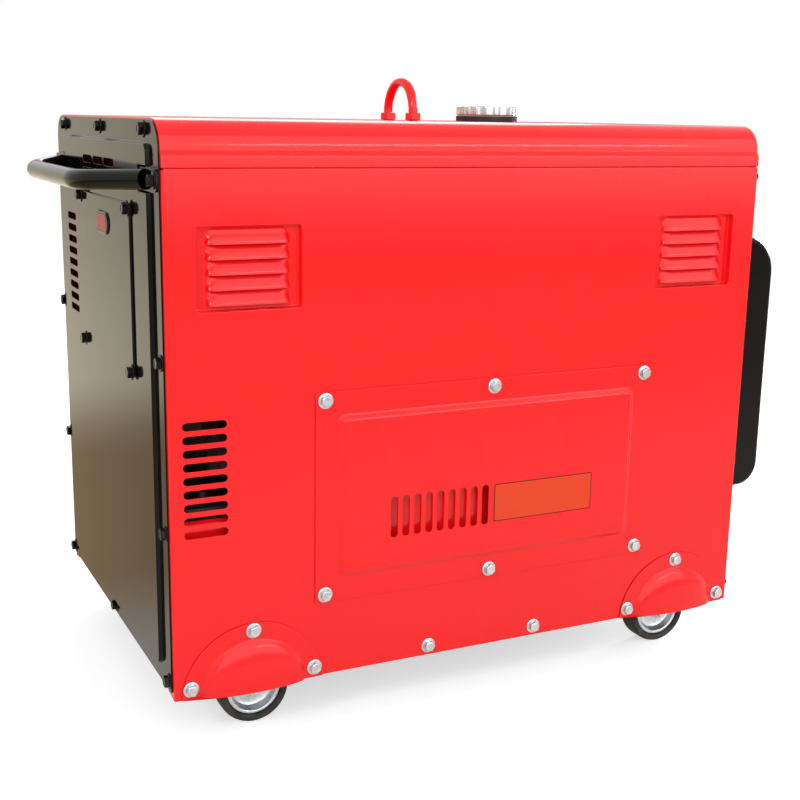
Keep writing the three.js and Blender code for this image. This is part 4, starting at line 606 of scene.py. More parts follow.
def round_corner(before, here, after, radius, steps=5):
    """Points on the arc that replaces a corner."""
    here = Vector(here)
    one = (Vector(before) - here).normalized()
    two = (Vector(after) - here).normalized()
    half = one.angle(two) / 2
    if half > math.radians(89):
        return [tuple(here)]
    centre = here + (one + two).normalized() * (radius / math.sin(half))
    reach = radius / math.tan(half)
    start, stop = here + one * reach - centre, here + two * reach - centre
    first = math.atan2(start.y, start.x)
    turn = (math.atan2(stop.y, stop.x) - first + math.pi) % (2 * math.pi) - math.pi
    angles = [first + turn * k / steps for k in range(steps + 1)]
    return [(centre.x + radius * math.cos(a), centre.y + radius * math.sin(a)) for a in angles]


def fillet(points, radii, steps=5):
    """A polyline with its inner corners rounded."""
    out = [points[0]]
    for k, radius in enumerate(radii, 1):
        out += round_corner(points[k - 1], points[k], points[k + 1], radius, steps)
    return out + [points[-1]]


def inset_loop(points, inset, radii):
    """A counter-clockwise outline drawn in by an inset, with round corners."""
    count = len(points)
    moved, hollow = [], []
    for k in range(count):
        before, here, after = (Vector(points[j % count]) for j in (k - 1, k, k + 1))
        one, two = (here - before).normalized(), (after - here).normalized()
        across_one, across_two = Vector((-one.y, one.x)), Vector((-two.y, two.x))
        moved.append(here + (across_one + across_two) * (inset / (1 + across_one.dot(across_two))))
        hollow.append(one.x * two.y - one.y * two.x < 0)
    out = []
    for k in range(count):
        radius = max(radii[k] + (inset if hollow[k] else -inset), 0.3)
        out += round_corner(moved[k - 1], moved[k], moved[(k + 1) % count], radius, 4)
    return out


def refined(node, material, bevel):
    """A CAD node's shape with its flats joined, its edges rounded and a finished material."""
    bm = bmesh.new()
    bm.from_mesh(frame["nodes"][node].data)
    bmesh.ops.remove_doubles(bm, verts=bm.verts, dist=1e-6)
    bmesh.ops.dissolve_limit(bm, angle_limit=math.radians(1), verts=bm.verts, edges=bm.edges)
    obj = new_object(node + "_finished", bm, material)
    round_edges(obj, bevel, 28)
    settle(obj)
    shade(obj, 38)
    place_piece(obj, None, [node])


# ---- Side panels --------------------------------------------------------------------------
POCKET_X = HALF_L - 35 - 59
POCKET_W, POCKET_H, POCKET_Z, POCKET_DEPTH = 118.0, 90.0, 438.0, 8.0
LOUVRE_L, LOUVRE_H, LOUVRE_PITCH, LOUVRE_RISE, LOUVRE_COUNT = 92.0, 14.0, 16.3, 6.0, 5
LOUVRE_END = 11.0
LOUVRE_FOOT = POCKET_Z + 5.5
SIDE_VENTS = [(-HALF_L + 40.5, 193 + k * VENT_PITCH) for k in range(VENT_COUNT)]
SKIRT_BOLTS = [(-72, 12), (78, 12)]
ARCH_R = 72.0
BEND_R = 2.2
TOP_R = 2.0
COVER = Area(9.0, 215.5, 461.0, 251.0)
CONTROL = Area(-170.0, 457.0, 340.0, 176.0)
DOOR = Area(150.0, 216.0, 350.0, 240.0)


def louvre_top(x):
    """Height of a louvre's outline above its lip at x from its middle."""
    past = max(0.0, abs(x) - (LOUVRE_L / 2 - LOUVRE_END)) / LOUVRE_END
    return LOUVRE_H * math.sqrt(max(0.0, 1 - past * past))


def louvre_stations():
    ends = [LOUVRE_L / 2 - LOUVRE_END * (1 - math.cos(math.radians(90 * k / 7))) for k in range(8)]
    right = ends + [LOUVRE_L / 2 - LOUVRE_END - 4]
    return [-x for x in right] + list(reversed(right))


def add_louvre(bm, side, face, cx, z):
    """The raised hood of one louvre, open along its lower edge."""
    rows = []
    steps = 9
    for j in range(steps + 1):
        t = j / steps
        rise = 0.5 * (1 - math.cos(math.pi * t)) * 0.55 + math.sin(math.pi * t / 2) * 0.45
        row = []
        for x in louvre_stations():
            top = louvre_top(x)
            height = face + LOUVRE_RISE * rise * (top / LOUVRE_H)
            row.append(Vector((cx + x, side * height, z + top * (1 - t))))
        rows.append(row)
    grid(bm, rows, flip=side > 0)


def louvre_outline(cx, z):
    stations = louvre_stations()
    top = [(cx + x, z + louvre_top(x)) for x in reversed(stations[1:-1])]
    return [(cx + stations[0], z), (cx + stations[-1], z)] + top


def side_plate(side, pockets, openings):
    """The flat of a side panel with its arches, pockets, slots and openings."""
    edge, top = HALF_L - BEND_R, WALL_Z - TOP_R
    lower = [(-edge, 0.0)]
    for end in (-1, 1):
        lower += arc(end * SWIVEL_X, 0, ARCH_R, 180, 0, 24)
    plate = Plate(lower + [(edge, 0.0), (edge, top), (-edge, top)])
    louvres = [(cx, LOUVRE_FOOT + k * LOUVRE_PITCH) for cx in pockets for k in range(LOUVRE_COUNT)]
    for cx in pockets:
        pocket = Area(cx, POCKET_Z + POCKET_H / 2, POCKET_W, POCKET_H)
        plate.press(lambda inset: pocket.outline(max(3.0 - inset, 0.4), inset, 4),
                    0.0, -POCKET_DEPTH, 1.1, 0.5, 3)
        for place in louvres:
            if place[0] == cx:
                plate.cut(louvre_outline(*place), -POCKET_DEPTH)
    plate.vents(SIDE_VENTS)
    for opening in openings:
        plate.cut(opening.outline(4.0, steps=3))
    bm = plate.mesh("y", side, HALF_W)
    for place in louvres:
        add_louvre(bm, side, HALF_W - POCKET_DEPTH, *place)
    turn = [math.radians(90 * k / 5) for k in range(6)]
    for end in (-1, 1):
        bend = [(edge + BEND_R * math.sin(a), HALF_W - BEND_R + BEND_R * math.cos(a), 0) for a in turn]
        bend.append((HALF_L, HALF_W - 25, 3))
        rows = [[Vector((end * x, side * y, z)) for z in (low, top)] for x, y, low in bend]
        grid(bm, rows, flip=(end * side) < 0)
    lip = [(HALF_W - TOP_R * (1 - math.cos(a)), WALL_Z - TOP_R * (1 - math.sin(a))) for a in turn]
    lip.append((HALF_W - SEAM_LIP, WALL_Z))
    grid(bm, [[Vector((x, side * y, z)) for y, z in lip] for x in (-edge, edge)], flip=side < 0)
    bmesh.ops.remove_doubles(bm, verts=bm.verts, dist=MERGE)
    return bm


def side_panel(name, side, pockets, openings):
    finish(name + "_skin", side_plate(side, pockets, openings), RED, nodes=[name], thick=SHEET)
    bolts(name + "_bolts", [("y", side, HALF_W, x, z) for x, z in SKIRT_BOLTS], ZINC)


side_panel("front_panel", -1, (-POCKET_X, POCKET_X), [COVER.shrunk(24, 20)])
inner_wall = bmesh.new()
block(inner_wall, -HALF_L + SHEET, HALF_L - SHEET, -HALF_W + 11, -HALF_W + 11 + SHEET, 78, 205)
finish("front_inner_wall", inner_wall, RED)
side_panel("rear_panel", 1, (POCKET_X,), [CONTROL, DOOR.shrunk(14, 14)])

HINGE_R, HINGE_PIN_R = 4.5, 2
HINGE_X, HINGE_Y = DOOR.u - DOOR.width / 2 - HINGE_R - SEAT, HALF_W + HINGE_R + SEAT
HINGE_LEVELS = [DOOR.v + end * (DOOR.height / 2 - 36) for end in (-1, 1)]
KNUCKLE_HALF, KNUCKLE_GAP, HINGE_HALF = 6.37, 6.97, 20


def knuckle(bm, low, high):
    """A rolled hinge knuckle with chamfered ends."""
    lathe(bm, "z", HINGE_X, HINGE_Y, [
        (HINGE_R - 0.5, low), (HINGE_R, low + 0.5), (HINGE_R, high - 0.5), (HINGE_R - 0.5, high)], 28)


fixed_hinges = bmesh.new()
for level in HINGE_LEVELS:
    for low, high in ((level - HINGE_HALF, level - KNUCKLE_GAP), (level + KNUCKLE_GAP, level + HINGE_HALF)):
        knuckle(fixed_hinges, low, high)
        block(fixed_hinges, HINGE_X - 9, HINGE_X, HALF_W, HALF_W + 2.2, low, high)
        block(fixed_hinges, HINGE_X - 3.2, HINGE_X, HALF_W + 1, HINGE_Y, low + 0.1, high - 0.1)
    lathe(fixed_hinges, "z", HINGE_X, HINGE_Y, [(HINGE_PIN_R, -19), (HINGE_PIN_R, 19)], 16, base=level)
finish("fixed_hinge_leaves", fixed_hinges, RED, bevel=0.3)


# ---- Roof ---------------------------------------------------------------------------------
ROOF_FLAT = HALF_W - ROOF_SHOULDER - ROOF_BEND
ROOF_END_LIP = 25
SKIRT = HALF_W - 0.5


def roof_section(inset):
    """(y, z) from the +Y skirt's edge over the crest to the -Y skirt's edge."""
    skirt, wall, centre_z = SKIRT - inset, HALF_W - ROOF_SHOULDER - inset, CREST_Z - ROOF_BEND
    low = fillet([(skirt, WALL_Z + SEAT), (skirt, WALL_Z + 12.3), (wall, WALL_Z + 18.3), (wall, centre_z)],
                 (5, 2), 4)
    right = low[:-1] + arc(ROOF_FLAT, centre_z, ROOF_BEND - inset, 0, 90, 16)
    return right, [(-y, z) for y, z in reversed(right)]


def strip(bm, first, second, x):
    grid(bm, [[Vector((x, y, z)) for y, z in line] for line in (first, second)])


ENDS = (-HALF_L, HALF_L)
roof = Plate([(-HALF_L, -ROOF_FLAT), (HALF_L, -ROOF_FLAT), (HALF_L, ROOF_FLAT), (-HALF_L, ROOF_FLAT)])
for eye_y in (-EYE_HALF, EYE_HALF):
    roof.cut(circle(EYE_X, eye_y, 6.4, 24))
roof.cut(circle(CAP_X, 0, 26.5, 40))
roof = roof.mesh("z", 1, CREST_Z)
for half, inner_half in zip(roof_section(0), roof_section(ROOF_END_LIP)):
    grid(roof, [[Vector((x, y, z)) for y, z in half] for x in ENDS])
    for x in ENDS:
        strip(roof, half, inner_half, x)
for x in ENDS:
    edges = [[(y, z) for y in (ROOF_FLAT, -ROOF_FLAT)] for z in (CREST_Z, CREST_Z - ROOF_END_LIP)]
    strip(roof, *edges, x)
for side in (-1, 1):
    grid(roof, [[Vector((x, side * y, WALL_Z + SEAT)) for y in (SKIRT, HALF_W - SEAM_LIP)] for x in ENDS])
bmesh.ops.remove_doubles(roof, verts=roof.verts, dist=MERGE)
finish("roof_skin", roof, RED, nodes=["roof"], thick=SHEET, bevel=0.5, inner=(0, 0, 400))


# ---- End panels ---------------------------------------------------------------------------
FIELD_RISE = 4.4
FOOT_W, FOOT_HALF_H, FOOT_T = 66, 12, 3
FOOT_OUTER = HALF_W - END_BOLT_INSET + BOLT_FLANGE
NOTCH = FOOT_HALF_H + 1.5  # half height of the field's notch round a handle foot
NOTCH_Y = FOOT_OUTER - FOOT_W - 1.5
FIELD = [(224, 28), (224, HANDLE_Z - NOTCH), (NOTCH_Y, HANDLE_Z - NOTCH), (NOTCH_Y, HANDLE_Z + NOTCH),
         (224, HANDLE_Z + NOTCH), (224, 612)]
FIELD += [(-y, z) for y, z in reversed(FIELD)]
FIELD_RADII = [12, 1.5, 2, 2, 1.5, 10, 10, 1.5, 2, 2, 1.5, 12]
END_BOLT_LEVELS = (20, 194, 384)
SERVICE, SERVICE_RISE = Area(-30.0, 448.0, 252.0, 196.0), 2.2
BADGE, BADGE_RISE = Area(SERVICE.u, 515.0, 48, 21), 2.0


def end_outline():
    right = arc(HALF_W - ROOF_SHOULDER - 4, 10, 2, -90, 0, 3)
    right += arc(ROOF_FLAT, CREST_Z - ROOF_BEND, ROOF_BEND - 2, 0, 90, 14)
    return right + [(-y, z) for y, z in reversed(right)]


def end_panel(name, side, plate, bolt_levels):
    finish(name + "_skin", plate.mesh("x", side, END_FACE), BLACK, nodes=[name + "_panel"], thick=SHEET)
    places = [(y, z) for y in (END_BOLT_INSET - HALF_W, HALF_W - END_BOLT_INSET) for z in bolt_levels]
    places += [(y, CREST_Z - 11.5) for y in (-HALF_W + 60, 0, HALF_W - 60)] + [(0, 19)]
    bolts(name + "_bolts", [("x", side, END_FACE, y, z) for y, z in places], BLACK)


left_end = Plate(end_outline())
left_end.press(lambda inset: inset_loop(FIELD, inset, FIELD_RADII), 0.0, FIELD_RISE, 1.1, 0.8)
left_end.vents([(162, 386 + k * VENT_PITCH) for k in range(VENT_COUNT)]
               + [(y, 586 - k * VENT_PITCH) for y in (-56, 0, 56) for k in range(2)], FIELD_RISE)
left_end.cut(SERVICE.outline(3, 18, 3), FIELD_RISE)
end_panel("left_end", -1, left_end, END_BOLT_LEVELS)
right_end = Plate(end_outline())
right_end.cut(rounded(-176, 176, 190, 449, 4, 3))
end_panel("right_end", 1, right_end, END_BOLT_LEVELS + (HANDLE_Z,))

# Service cover with its boss and blank badge
service = Plate(SERVICE.outline(4))
service.steps(lambda inset: SERVICE.outline(4 - inset, inset),
              ((0.1, 0.6), (0.25, 1.1), (0.6, 1.6), (1.1, 1.95), (1.9, SERVICE_RISE)))
service.press(lambda inset: slot_outline(BADGE.u, BADGE.v, 60, 27, grow=-inset),
              SERVICE_RISE, BADGE_RISE, 0.8, 0.2)
SERVICE_BASE = END_FACE + FIELD_RISE + SEAT
finish("service_cover_pan", service.mesh("x", -1, SERVICE_BASE), BLACK, nodes=["service_cover"], thick=SHEET)
bolts("service_cover_bolts", [
    ("x", -1, SERVICE_BASE + SERVICE_RISE, y, z) for y, z in SERVICE.corners(6, 6)], BLACK)


def label(name, axis, side, face, area, radius, border, colour):
    """A blank sticker with a printed border."""
    bm = bmesh.new()
    prism(bm, axis, area.outline(radius), face, face + 0.2, side)
    finish(name + "_border", bm, LABEL_EDGE)
    bm = bmesh.new()
    stack(bm, [ring3(axis, side, face + h, area.outline(radius, border + inset))
               for h, inset in ((0.1, 0), (0.26, 0), (0.3, 0.1))])
    finish(name, bm, colour)


label("badge_blank", "x", -1, SERVICE_BASE + SERVICE_RISE + BADGE_RISE, BADGE, 3, 0.8, RED_LABEL)

# ---- Carrying handle ----------------------------------------------------------------------
HANDLE_FOOT = END_FACE + SEAT
HANDLE_REACH = 55.7
HANDLE_BAR = HANDLE_FOOT + HANDLE_REACH
HANDLE_HALF, HANDLE_SPREAD = 132.0, 216.0


def handle_point(x, y):
    return Vector((-x, y, HANDLE_Z - 4.5 * (x - HANDLE_FOOT) / 56))


handle = bmesh.new()
handle_line = fillet([
    (HANDLE_FOOT + FOOT_T, HANDLE_SPREAD), (HANDLE_BAR, HANDLE_HALF), (HANDLE_BAR, -HANDLE_HALF),
    (HANDLE_FOOT + FOOT_T, -HANDLE_SPREAD)], (80, 80), 14)
sweep(handle, [handle_point(x, y) for x, y in handle_line], 11, 40)
for v in handle.verts:
    v.co.x = min(v.co.x, -HANDLE_FOOT - 0.2)
finish("handle_tube", handle, BLACK, nodes=["carry_handle"], angle=50)
feet = bmesh.new()
for side in (-1, 1):
    foot = Area(side * (FOOT_OUTER - FOOT_W / 2), HANDLE_Z, FOOT_W, 2 * FOOT_HALF_H)
    prism(feet, "x", foot.outline(6), HANDLE_FOOT, HANDLE_FOOT + FOOT_T, -1)
finish("handle_feet", feet, BLACK, bevel=0.5)
bolts("handle_bolts", [
    ("x", -1, HANDLE_FOOT + FOOT_T, side * (HALF_W - END_BOLT_INSET), HANDLE_Z) for side in (-1, 1)], BLACK)

# ---- Maintenance cover --------------------------------------------------------------------
COVER_FACE = HALF_W + SEAT + SHEET
COVER_RISE = 4.5


COVER_FIELD = COVER.shrunk(27, 28)


def slope_press(plate, shape, rise, width, radius, steps=4):
    """A pressing with a sloping border between two gentle bends."""
    slope = math.atan2(rise, width)
    reach = radius * math.tan(slope / 2)
    angles = [slope * k / steps for k in range(steps + 1)]
    for a in angles:
        plate.step(shape(-reach + radius * math.sin(a)), radius * (1 - math.cos(a)))
    for a in reversed(angles):
        plate.step(shape(width + reach - radius * math.sin(a)), rise - radius * (1 - math.cos(a)))


cover = Plate(COVER.outline(3), -0.5)
cover.steps(lambda inset: COVER.outline(3, inset), ((0.2, -0.2), (0.6, 0.0)))
slope_press(cover, lambda inset: COVER_FIELD.outline(max(10 - inset, 1.5), inset), COVER_RISE, 6, 5)
cover.vents([(COVER.u - 132.5 + k * VENT_PITCH, 185) for k in range(VENT_COUNT)], COVER_RISE, upright=True)
finish("maintenance_cover_skin", cover.mesh("y", -1, COVER_FACE), RED, nodes=["maintenance_cover"],
       thick=SHEET - 0.5)
bolts("maintenance_cover_bolts", [
    ("y", -1, COVER_FACE, COVER.u + a * (COVER.width / 2 - 12), COVER.v + b * (COVER.height / 2 - 10))
    for a in (-1, 0, 1) for b in (-1, 1)], ZINC)
label("notice_blank", "y", -1, COVER_FACE + COVER_RISE, Area(81.5, 185.7, 141.0, 47.4), 2, 1.0, ORANGE_LABEL)

# ---- Wheel-arch covers --------------------------------------------------------------------
DOME = (
    (1.065, 0.0), (1.045, 0.1), (1.028, 0.36), (1.012, 0.8), (0.998, 1.4), (0.982, 2.25), (0.962, 3.2),
    (0.935, 4.3), (0.9, 5.4), (0.85, 6.55), (0.79, 7.65), (0.71, 8.8), (0.62, 9.8), (0.52, 10.65),
    (0.41, 11.4), (0.29, 11.95), (0.17, 12.3), (0.06, 12.45))
ARCH_COVER_R, ARCH_COVER_DROP = 85.5, 6
ARCH_BOLT_R, ARCH_BOLT_ANGLE = 76.5, 0.24
BULGE_HALF, BULGE_H = 62, 58


def wheel_cover(name, cx, side):
    def rim(shrink):
        radius = ARCH_COVER_R - shrink
        low = math.degrees(math.asin(ARCH_COVER_DROP / radius))
        return arc(cx, -ARCH_COVER_DROP, radius, low, 180 - low, 56)

    plate = Plate(rim(0), -0.45)
    lines = [(rim(shrink), height) for shrink, height in ((0.2, -0.15), (0.6, 0.0))]
    half_turn = [math.pi * k / 40 for k in range(41)]
    for share, height in DOME:
        bulge = [(cx + BULGE_HALF * share * math.cos(a), BULGE_H * share * math.sin(a)) for a in half_turn]
        lines.append((bulge, height))
    plate.extra += [(line, [height] * len(line)) for line, height in lines]
    finish(name + "_skin", plate.mesh("y", side, COVER_FACE), RED, nodes=[name],
           thick=SHEET - 0.45, even=False)
    across = ARCH_BOLT_R * math.cos(ARCH_BOLT_ANGLE)
    height = ARCH_BOLT_R * math.sin(ARCH_BOLT_ANGLE) - ARCH_COVER_DROP
    places = ((-across, height), (0, ARCH_BOLT_R - ARCH_COVER_DROP), (across, height))
    bolts(name + "_bolts", [("y", side, COVER_FACE, cx + x, z) for x, z in places], ZINC)


CORNERS = [(end, side, end_name + "_" + side_name) for end, end_name in ((-1, "left"), (1, "right"))
           for side, side_name in ((-1, "front"), (1, "rear"))]
for end, side, corner_name in CORNERS:
    wheel_cover("wheel_cover_" + corner_name, end * SWIVEL_X, side)

# ---- Air outlet hood ----------------------------------------------------------------------
HOOD_BASE, HOOD_FRONT = END_FACE + SEAT, END_FACE + SEAT + 76
HOOD_Y, HOOD_LOW, HOOD_HIGH = 221.0, 145.0, 494.0
HOOD_LOW_R, HOOD_HIGH_R, HOOD_EDGE = 32, 50, 6.5
HOOD_FLANGE = 16
MOUTH_RIB = 15


def hood_section(inset):
    low = arc(HOOD_FRONT - HOOD_LOW_R, HOOD_LOW + HOOD_LOW_R, HOOD_LOW_R - inset, -90, 0, 9)
    high = arc(HOOD_FRONT - HOOD_HIGH_R, HOOD_HIGH - HOOD_HIGH_R, HOOD_HIGH_R - inset, 0, 90, 12)
    return [(HOOD_BASE, HOOD_LOW + inset)] + low + high + [(HOOD_BASE, HOOD_HIGH - inset)]


hood = bmesh.new()
turns = [math.radians(90 * k / 5) for k in range(6)]
half = [(HOOD_Y - HOOD_EDGE * (1 - math.cos(a)), HOOD_EDGE * (1 - math.sin(a))) for a in turns]
rows = [(-y, inset) for y, inset in half] + [(y, inset) for y, inset in reversed(half)]
made = [[hood.verts.new((x, y, z)) for x, z in hood_section(inset)] for y, inset in rows]
for j, (first, second) in enumerate(zip(made, made[1:])):
    for k in range(len(first) - 1):
        if j != len(half) - 1 or k > 0:
            hood.faces.new((first[k], first[k + 1], second[k + 1], second[k]))
hood.faces.new(made[0])
hood.faces.new(list(reversed(made[-1])))
floor_y, floor_x = HOOD_Y - HOOD_EDGE, HOOD_FRONT - HOOD_LOW_R
floor = Plate([(HOOD_BASE, -floor_y), (floor_x, -floor_y), (floor_x, floor_y), (HOOD_BASE, floor_y)])
mouth_w = 2 * (HOOD_Y - 40) / 3
for place in (-1, 0, 1):
    y = place * (mouth_w + MOUTH_RIB) - mouth_w / 2
    floor.cut(rounded(HOOD_BASE + 10, HOOD_BASE + 40, y, y + mouth_w, 2, 3))
floor.mesh("z", -1, -HOOD_LOW, hood)
bmesh.ops.remove_doubles(hood, verts=hood.verts, dist=MERGE)
finish("hood_shell", hood, BLACK, nodes=["air_hood"], thick=SHEET, inner=(HOOD_BASE, 0, 320))
flange = Plate(rounded(-HOOD_Y - HOOD_FLANGE, HOOD_Y + HOOD_FLANGE, HOOD_LOW - 6, HOOD_HIGH + HOOD_FLANGE, 8))
flange.cut(rounded(-HOOD_Y + 0.4, HOOD_Y - 0.4, HOOD_LOW + 0.4, HOOD_HIGH - 0.4, 5))
finish("hood_flange", flange.mesh("x", 1, HOOD_BASE + SHEET), BLACK, thick=SHEET, bevel=0.3)
bolts("hood_bolts", [("x", 1, HOOD_BASE + SHEET, side * (HOOD_Y + 8.75), z)
                     for side in (-1, 1) for z in (205, 319.5, 464)], BLACK)

# ---- Lifting eye, filler cap --------------------------------------------------------------
EYE_ROD, EYE_FOOT, EYE_CENTRE = 6, 593.7, 650
NUT_ACROSS, NUT_HEIGHT, LOWER_NUT_Z = 19, 9.5, 596.4
eye = bmesh.new()
arch = [(EYE_HALF, EYE_FOOT)] + arc(0, EYE_CENTRE, EYE_HALF, 0, 180, 36) + [(-EYE_HALF, EYE_FOOT)]
sweep(eye, [Vector((EYE_X, y, z)) for y, z in arch], EYE_ROD, 32)
for side in (-1, 1):
    hex_nut(eye, EYE_X, side * EYE_HALF, LOWER_NUT_Z, LOWER_NUT_Z + NUT_HEIGHT, NUT_ACROSS)
finish("lifting_eye_rod", eye, RED, nodes=["lifting_eye"], bevel=0.3)
for side, node in ((-1, "lifting_nut_front"), (1, "lifting_nut_rear")):
    nut = bmesh.new()
    hex_nut(nut, EYE_X, side * EYE_HALF, CREST_Z + SEAT, CREST_Z + SEAT + NUT_HEIGHT, NUT_ACROSS)
    finish(node + "_finished", nut, RED, nodes=[node], bevel=0.4)

GASKET_BORE, GASKET_T = 26.6, 7.0
CAP_BASE = CREST_Z + SEAT + GASKET_T + SEAT
gasket = bmesh.new()
tube_of(gasket, "z", CAP_X, 0, [
    (GASKET_BORE, 0), (41.0, 0), (41.7, 0.6), (41.7, GASKET_T - 0.7), (41.0, GASKET_T),
    (GASKET_BORE, GASKET_T)],
    64, base=CREST_Z + SEAT)
finish("cap_gasket_ring", gasket, RUBBER, nodes=["cap_gasket"])
CAP = [
    (38.5, 0), (40.0, 0.5), (40.6, 1.6), (40.6, 10.6), (40.0, 12.0), (38.8, 12.9), (36.5, 13.3), (33.5, 13.5),
    (31.5, 14.0), (29.0, 15.2), (25.0, 16.2), (19.0, 16.9), (12.0, 17.3), (5.0, 17.5), (0.6, 17.5)]
GRIP_DEPTHS = (0, 0.8, 1, 1, 0.9, 0.7, 0.35)  # of the fluted grip, level by level
cap = bmesh.new()
lathe(cap, "z", CAP_X, 0, CAP, 144, base=CAP_BASE,
      wave=lambda k, a: 0.95 * math.cos(18 * a) * GRIP_DEPTHS[k] if k < len(GRIP_DEPTHS) else 0.0)
finish("fuel_cap_finished", cap, CHROME, nodes=["fuel_cap"], angle=60)

# ---- Casters ------------------------------------------------------------------------------
RIM = [
    (4.5, 16.7), (8.3, 16.7), (9.0, 15.6), (9.4, 8.0), (10.6, 4.4), (13.0, 3.2), (17.0, 3.0), (21.0, 3.2),
    (24.6, 4.2), (26.8, 6.0), (27.8, 8.6), (28.4, 11.0), (29.2, 12.3), (30.6, 13.0), (32.2, 12.9),
    (33.3, 12.2)]
TYRE_SIDE = [
    (34.3, 12.8), (35.6, 13.6), (37.6, 14.7), (39.4, 15.0), (41.2, 14.5), (42.5, 13.2), (43.2, 11.2),
    (43.45, 8.8), (43.5, 6.2), (42.7, 5.6), (42.7, 4.6), (43.5, 4.0)]
STEM = [(21.2, 32), (22, 32.8), (22, 35.3), (21.2, 36), (6, 36), (6, 46.2), (5.4, 46.7)]
AXLE_R, AXLE_HALF, AXLE_NUT_CORNER = 4, 24.4, 11 / math.sqrt(3)
FORK_HALF, LEG_INNER, LEG_OUTER, FORK_TOP = 19, 17, 19.5, 32


def mirrored(profile):
    return profile + [(r, -a) for r, a in reversed(profile)]


def caster(end, side, name):
    cx, cy = end * SWIVEL_X, side * SWIVEL_Y
    hub_x = cx + TRAIL
    rim = bmesh.new()
    tube_of(rim, "y", hub_x, HUB_Z, mirrored(RIM), 72, base=cy)
    finish("wheel_rim_" + name + "_disc", rim, ZINC, nodes=["wheel_rim_" + name], angle=50)
    tyre = bmesh.new()
    tube_of(tyre, "y", hub_x, HUB_Z, mirrored(TYRE_SIDE), 96, base=cy)
    finish("tyre_" + name + "_tread", tyre, TYRE, nodes=["tyre_" + name], angle=44)
    fork = bmesh.new()
    lathe(fork, "z", cx, cy, STEM, 56)
    block(fork, cx - FORK_HALF, cx + FORK_HALF, cy - LEG_OUTER, cy + LEG_OUTER, 29.5, 35)
    outline = [(cx - FORK_HALF, FORK_TOP)] + arc(hub_x, HUB_Z, 8, 180, 360, 12) + [(cx + FORK_HALF, FORK_TOP)]
    for leg in (-1, 1):
        low, high = sorted((cy + leg * LEG_INNER, cy + leg * LEG_OUTER))
        prism(fork, "y", outline, low, high)
        low, high = sorted((cy + leg * (LEG_OUTER - 0.1), cy + leg * 24.5))
        shares = (1.0, 1.0, 1.0, 0.86) if leg > 0 else (0.86, 1.0, 1.0, 1.0)
        levels = zip((low, low + 0.7, high - 0.7, high), shares)
        stack(fork, [ring3("y", 1, along, hexagon_about(hub_x, HUB_Z, AXLE_NUT_CORNER * share))
                     for along, share in levels])
    lathe(fork, "y", hub_x, HUB_Z, [(AXLE_R, -AXLE_HALF), (AXLE_R, AXLE_HALF)], 24, base=cy)
    finish("caster_fork_" + name + "_pressed", fork, ZINC, nodes=["caster_fork_" + name], bevel=0.35)


for end, side, corner_name in CORNERS:
    caster(end, side, corner_name)

# ---- Service door and latch ---------------------------------------------------------------
DOOR_BACK, DOOR_PAN = HALF_W + SEAT, 6.0
DOOR_FRONT = DOOR_BACK + DOOR_PAN
LATCH_X, LATCH_Z = DOOR.u + DOOR.width / 2 - 32, DOOR.v


def door_outline(inset):
    return DOOR.outline(max(5 - inset, 1.0), inset)


door = Plate(door_outline(0))
door.steps(door_outline, ((0.15, 2.0), (0.25, 4.2), (0.5, 5.1), (0.95, 5.75), (1.7, DOOR_PAN)))
door.press(lambda inset: door_outline(24 + inset), DOOR_PAN, -1.6, 0.7, 1.2)
door.cut(circle(LATCH_X, LATCH_Z, 5.5, 28), DOOR_PAN)
finish("service_door_pan", door.mesh("y", 1, DOOR_BACK), RED, nodes=["service_door"], thick=SHEET - 0.4)
door_hinges = bmesh.new()
for level in HINGE_LEVELS:
    low, high = level - KNUCKLE_HALF, level + KNUCKLE_HALF
    knuckle(door_hinges, low, high)
    block(door_hinges, HINGE_X, DOOR.u - DOOR.width / 2 + 1, HINGE_Y - 0.8, DOOR_FRONT - 0.1, low, high)
finish("door_hinge_leaves", door_hinges, RED, body=frame["nodes"]["service_door"]["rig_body"], bevel=0.3)

latch = bmesh.new()
lathe(latch, "y", LATCH_X, LATCH_Z, [(12.2, 0.3), (13, 1.0), (13, 3.6), (12.2, 4.7), (11, 5)], 56,
      base=DOOR_FRONT)
prism(latch, "y", Area(LATCH_X, LATCH_Z, 5, 20).outline(2.4), DOOR_FRONT + 4, DOOR_FRONT + 6)
lathe(latch, "y", LATCH_X, LATCH_Z, [(5, HALF_W - 6), (5, DOOR_FRONT + 1)], 28)
prism(latch, "y", rounded(LATCH_X - 5, LATCH_X + 5, LATCH_Z - 32, LATCH_Z + 6, 4), HALF_W - 6, HALF_W - 3)
finish("door_latch_turned", latch, ZINC, nodes=["door_latch"], bevel=0.3)

# ---- Control panel ------------------------------------------------------------------------
METER_X, BREAKER_X, KEY_X, ROW_Z = CONTROL.u - 118, CONTROL.u - 40, CONTROL.u + 22, CONTROL.v + 36
TERMINAL_X, TERMINAL_Z = CONTROL.u - 112, CONTROL.v - 40
SOCKETS = [(CONTROL.u + 84, CONTROL.v + 40), (CONTROL.u + 84, CONTROL.v - 38)]
ON_PANEL = CONTROL_FACE + SEAT
KNOB = [(6.2, 3.8), (6.6, 5), (6.6, 10.4), (6.0, 11.6), (4.6, 12)]
SCREW = [(4.2, 0), (4.2, 0.6), (3.6, 1.6), (2.4, 2.2), (1.3, 2.35), (1.3, 1.2)]

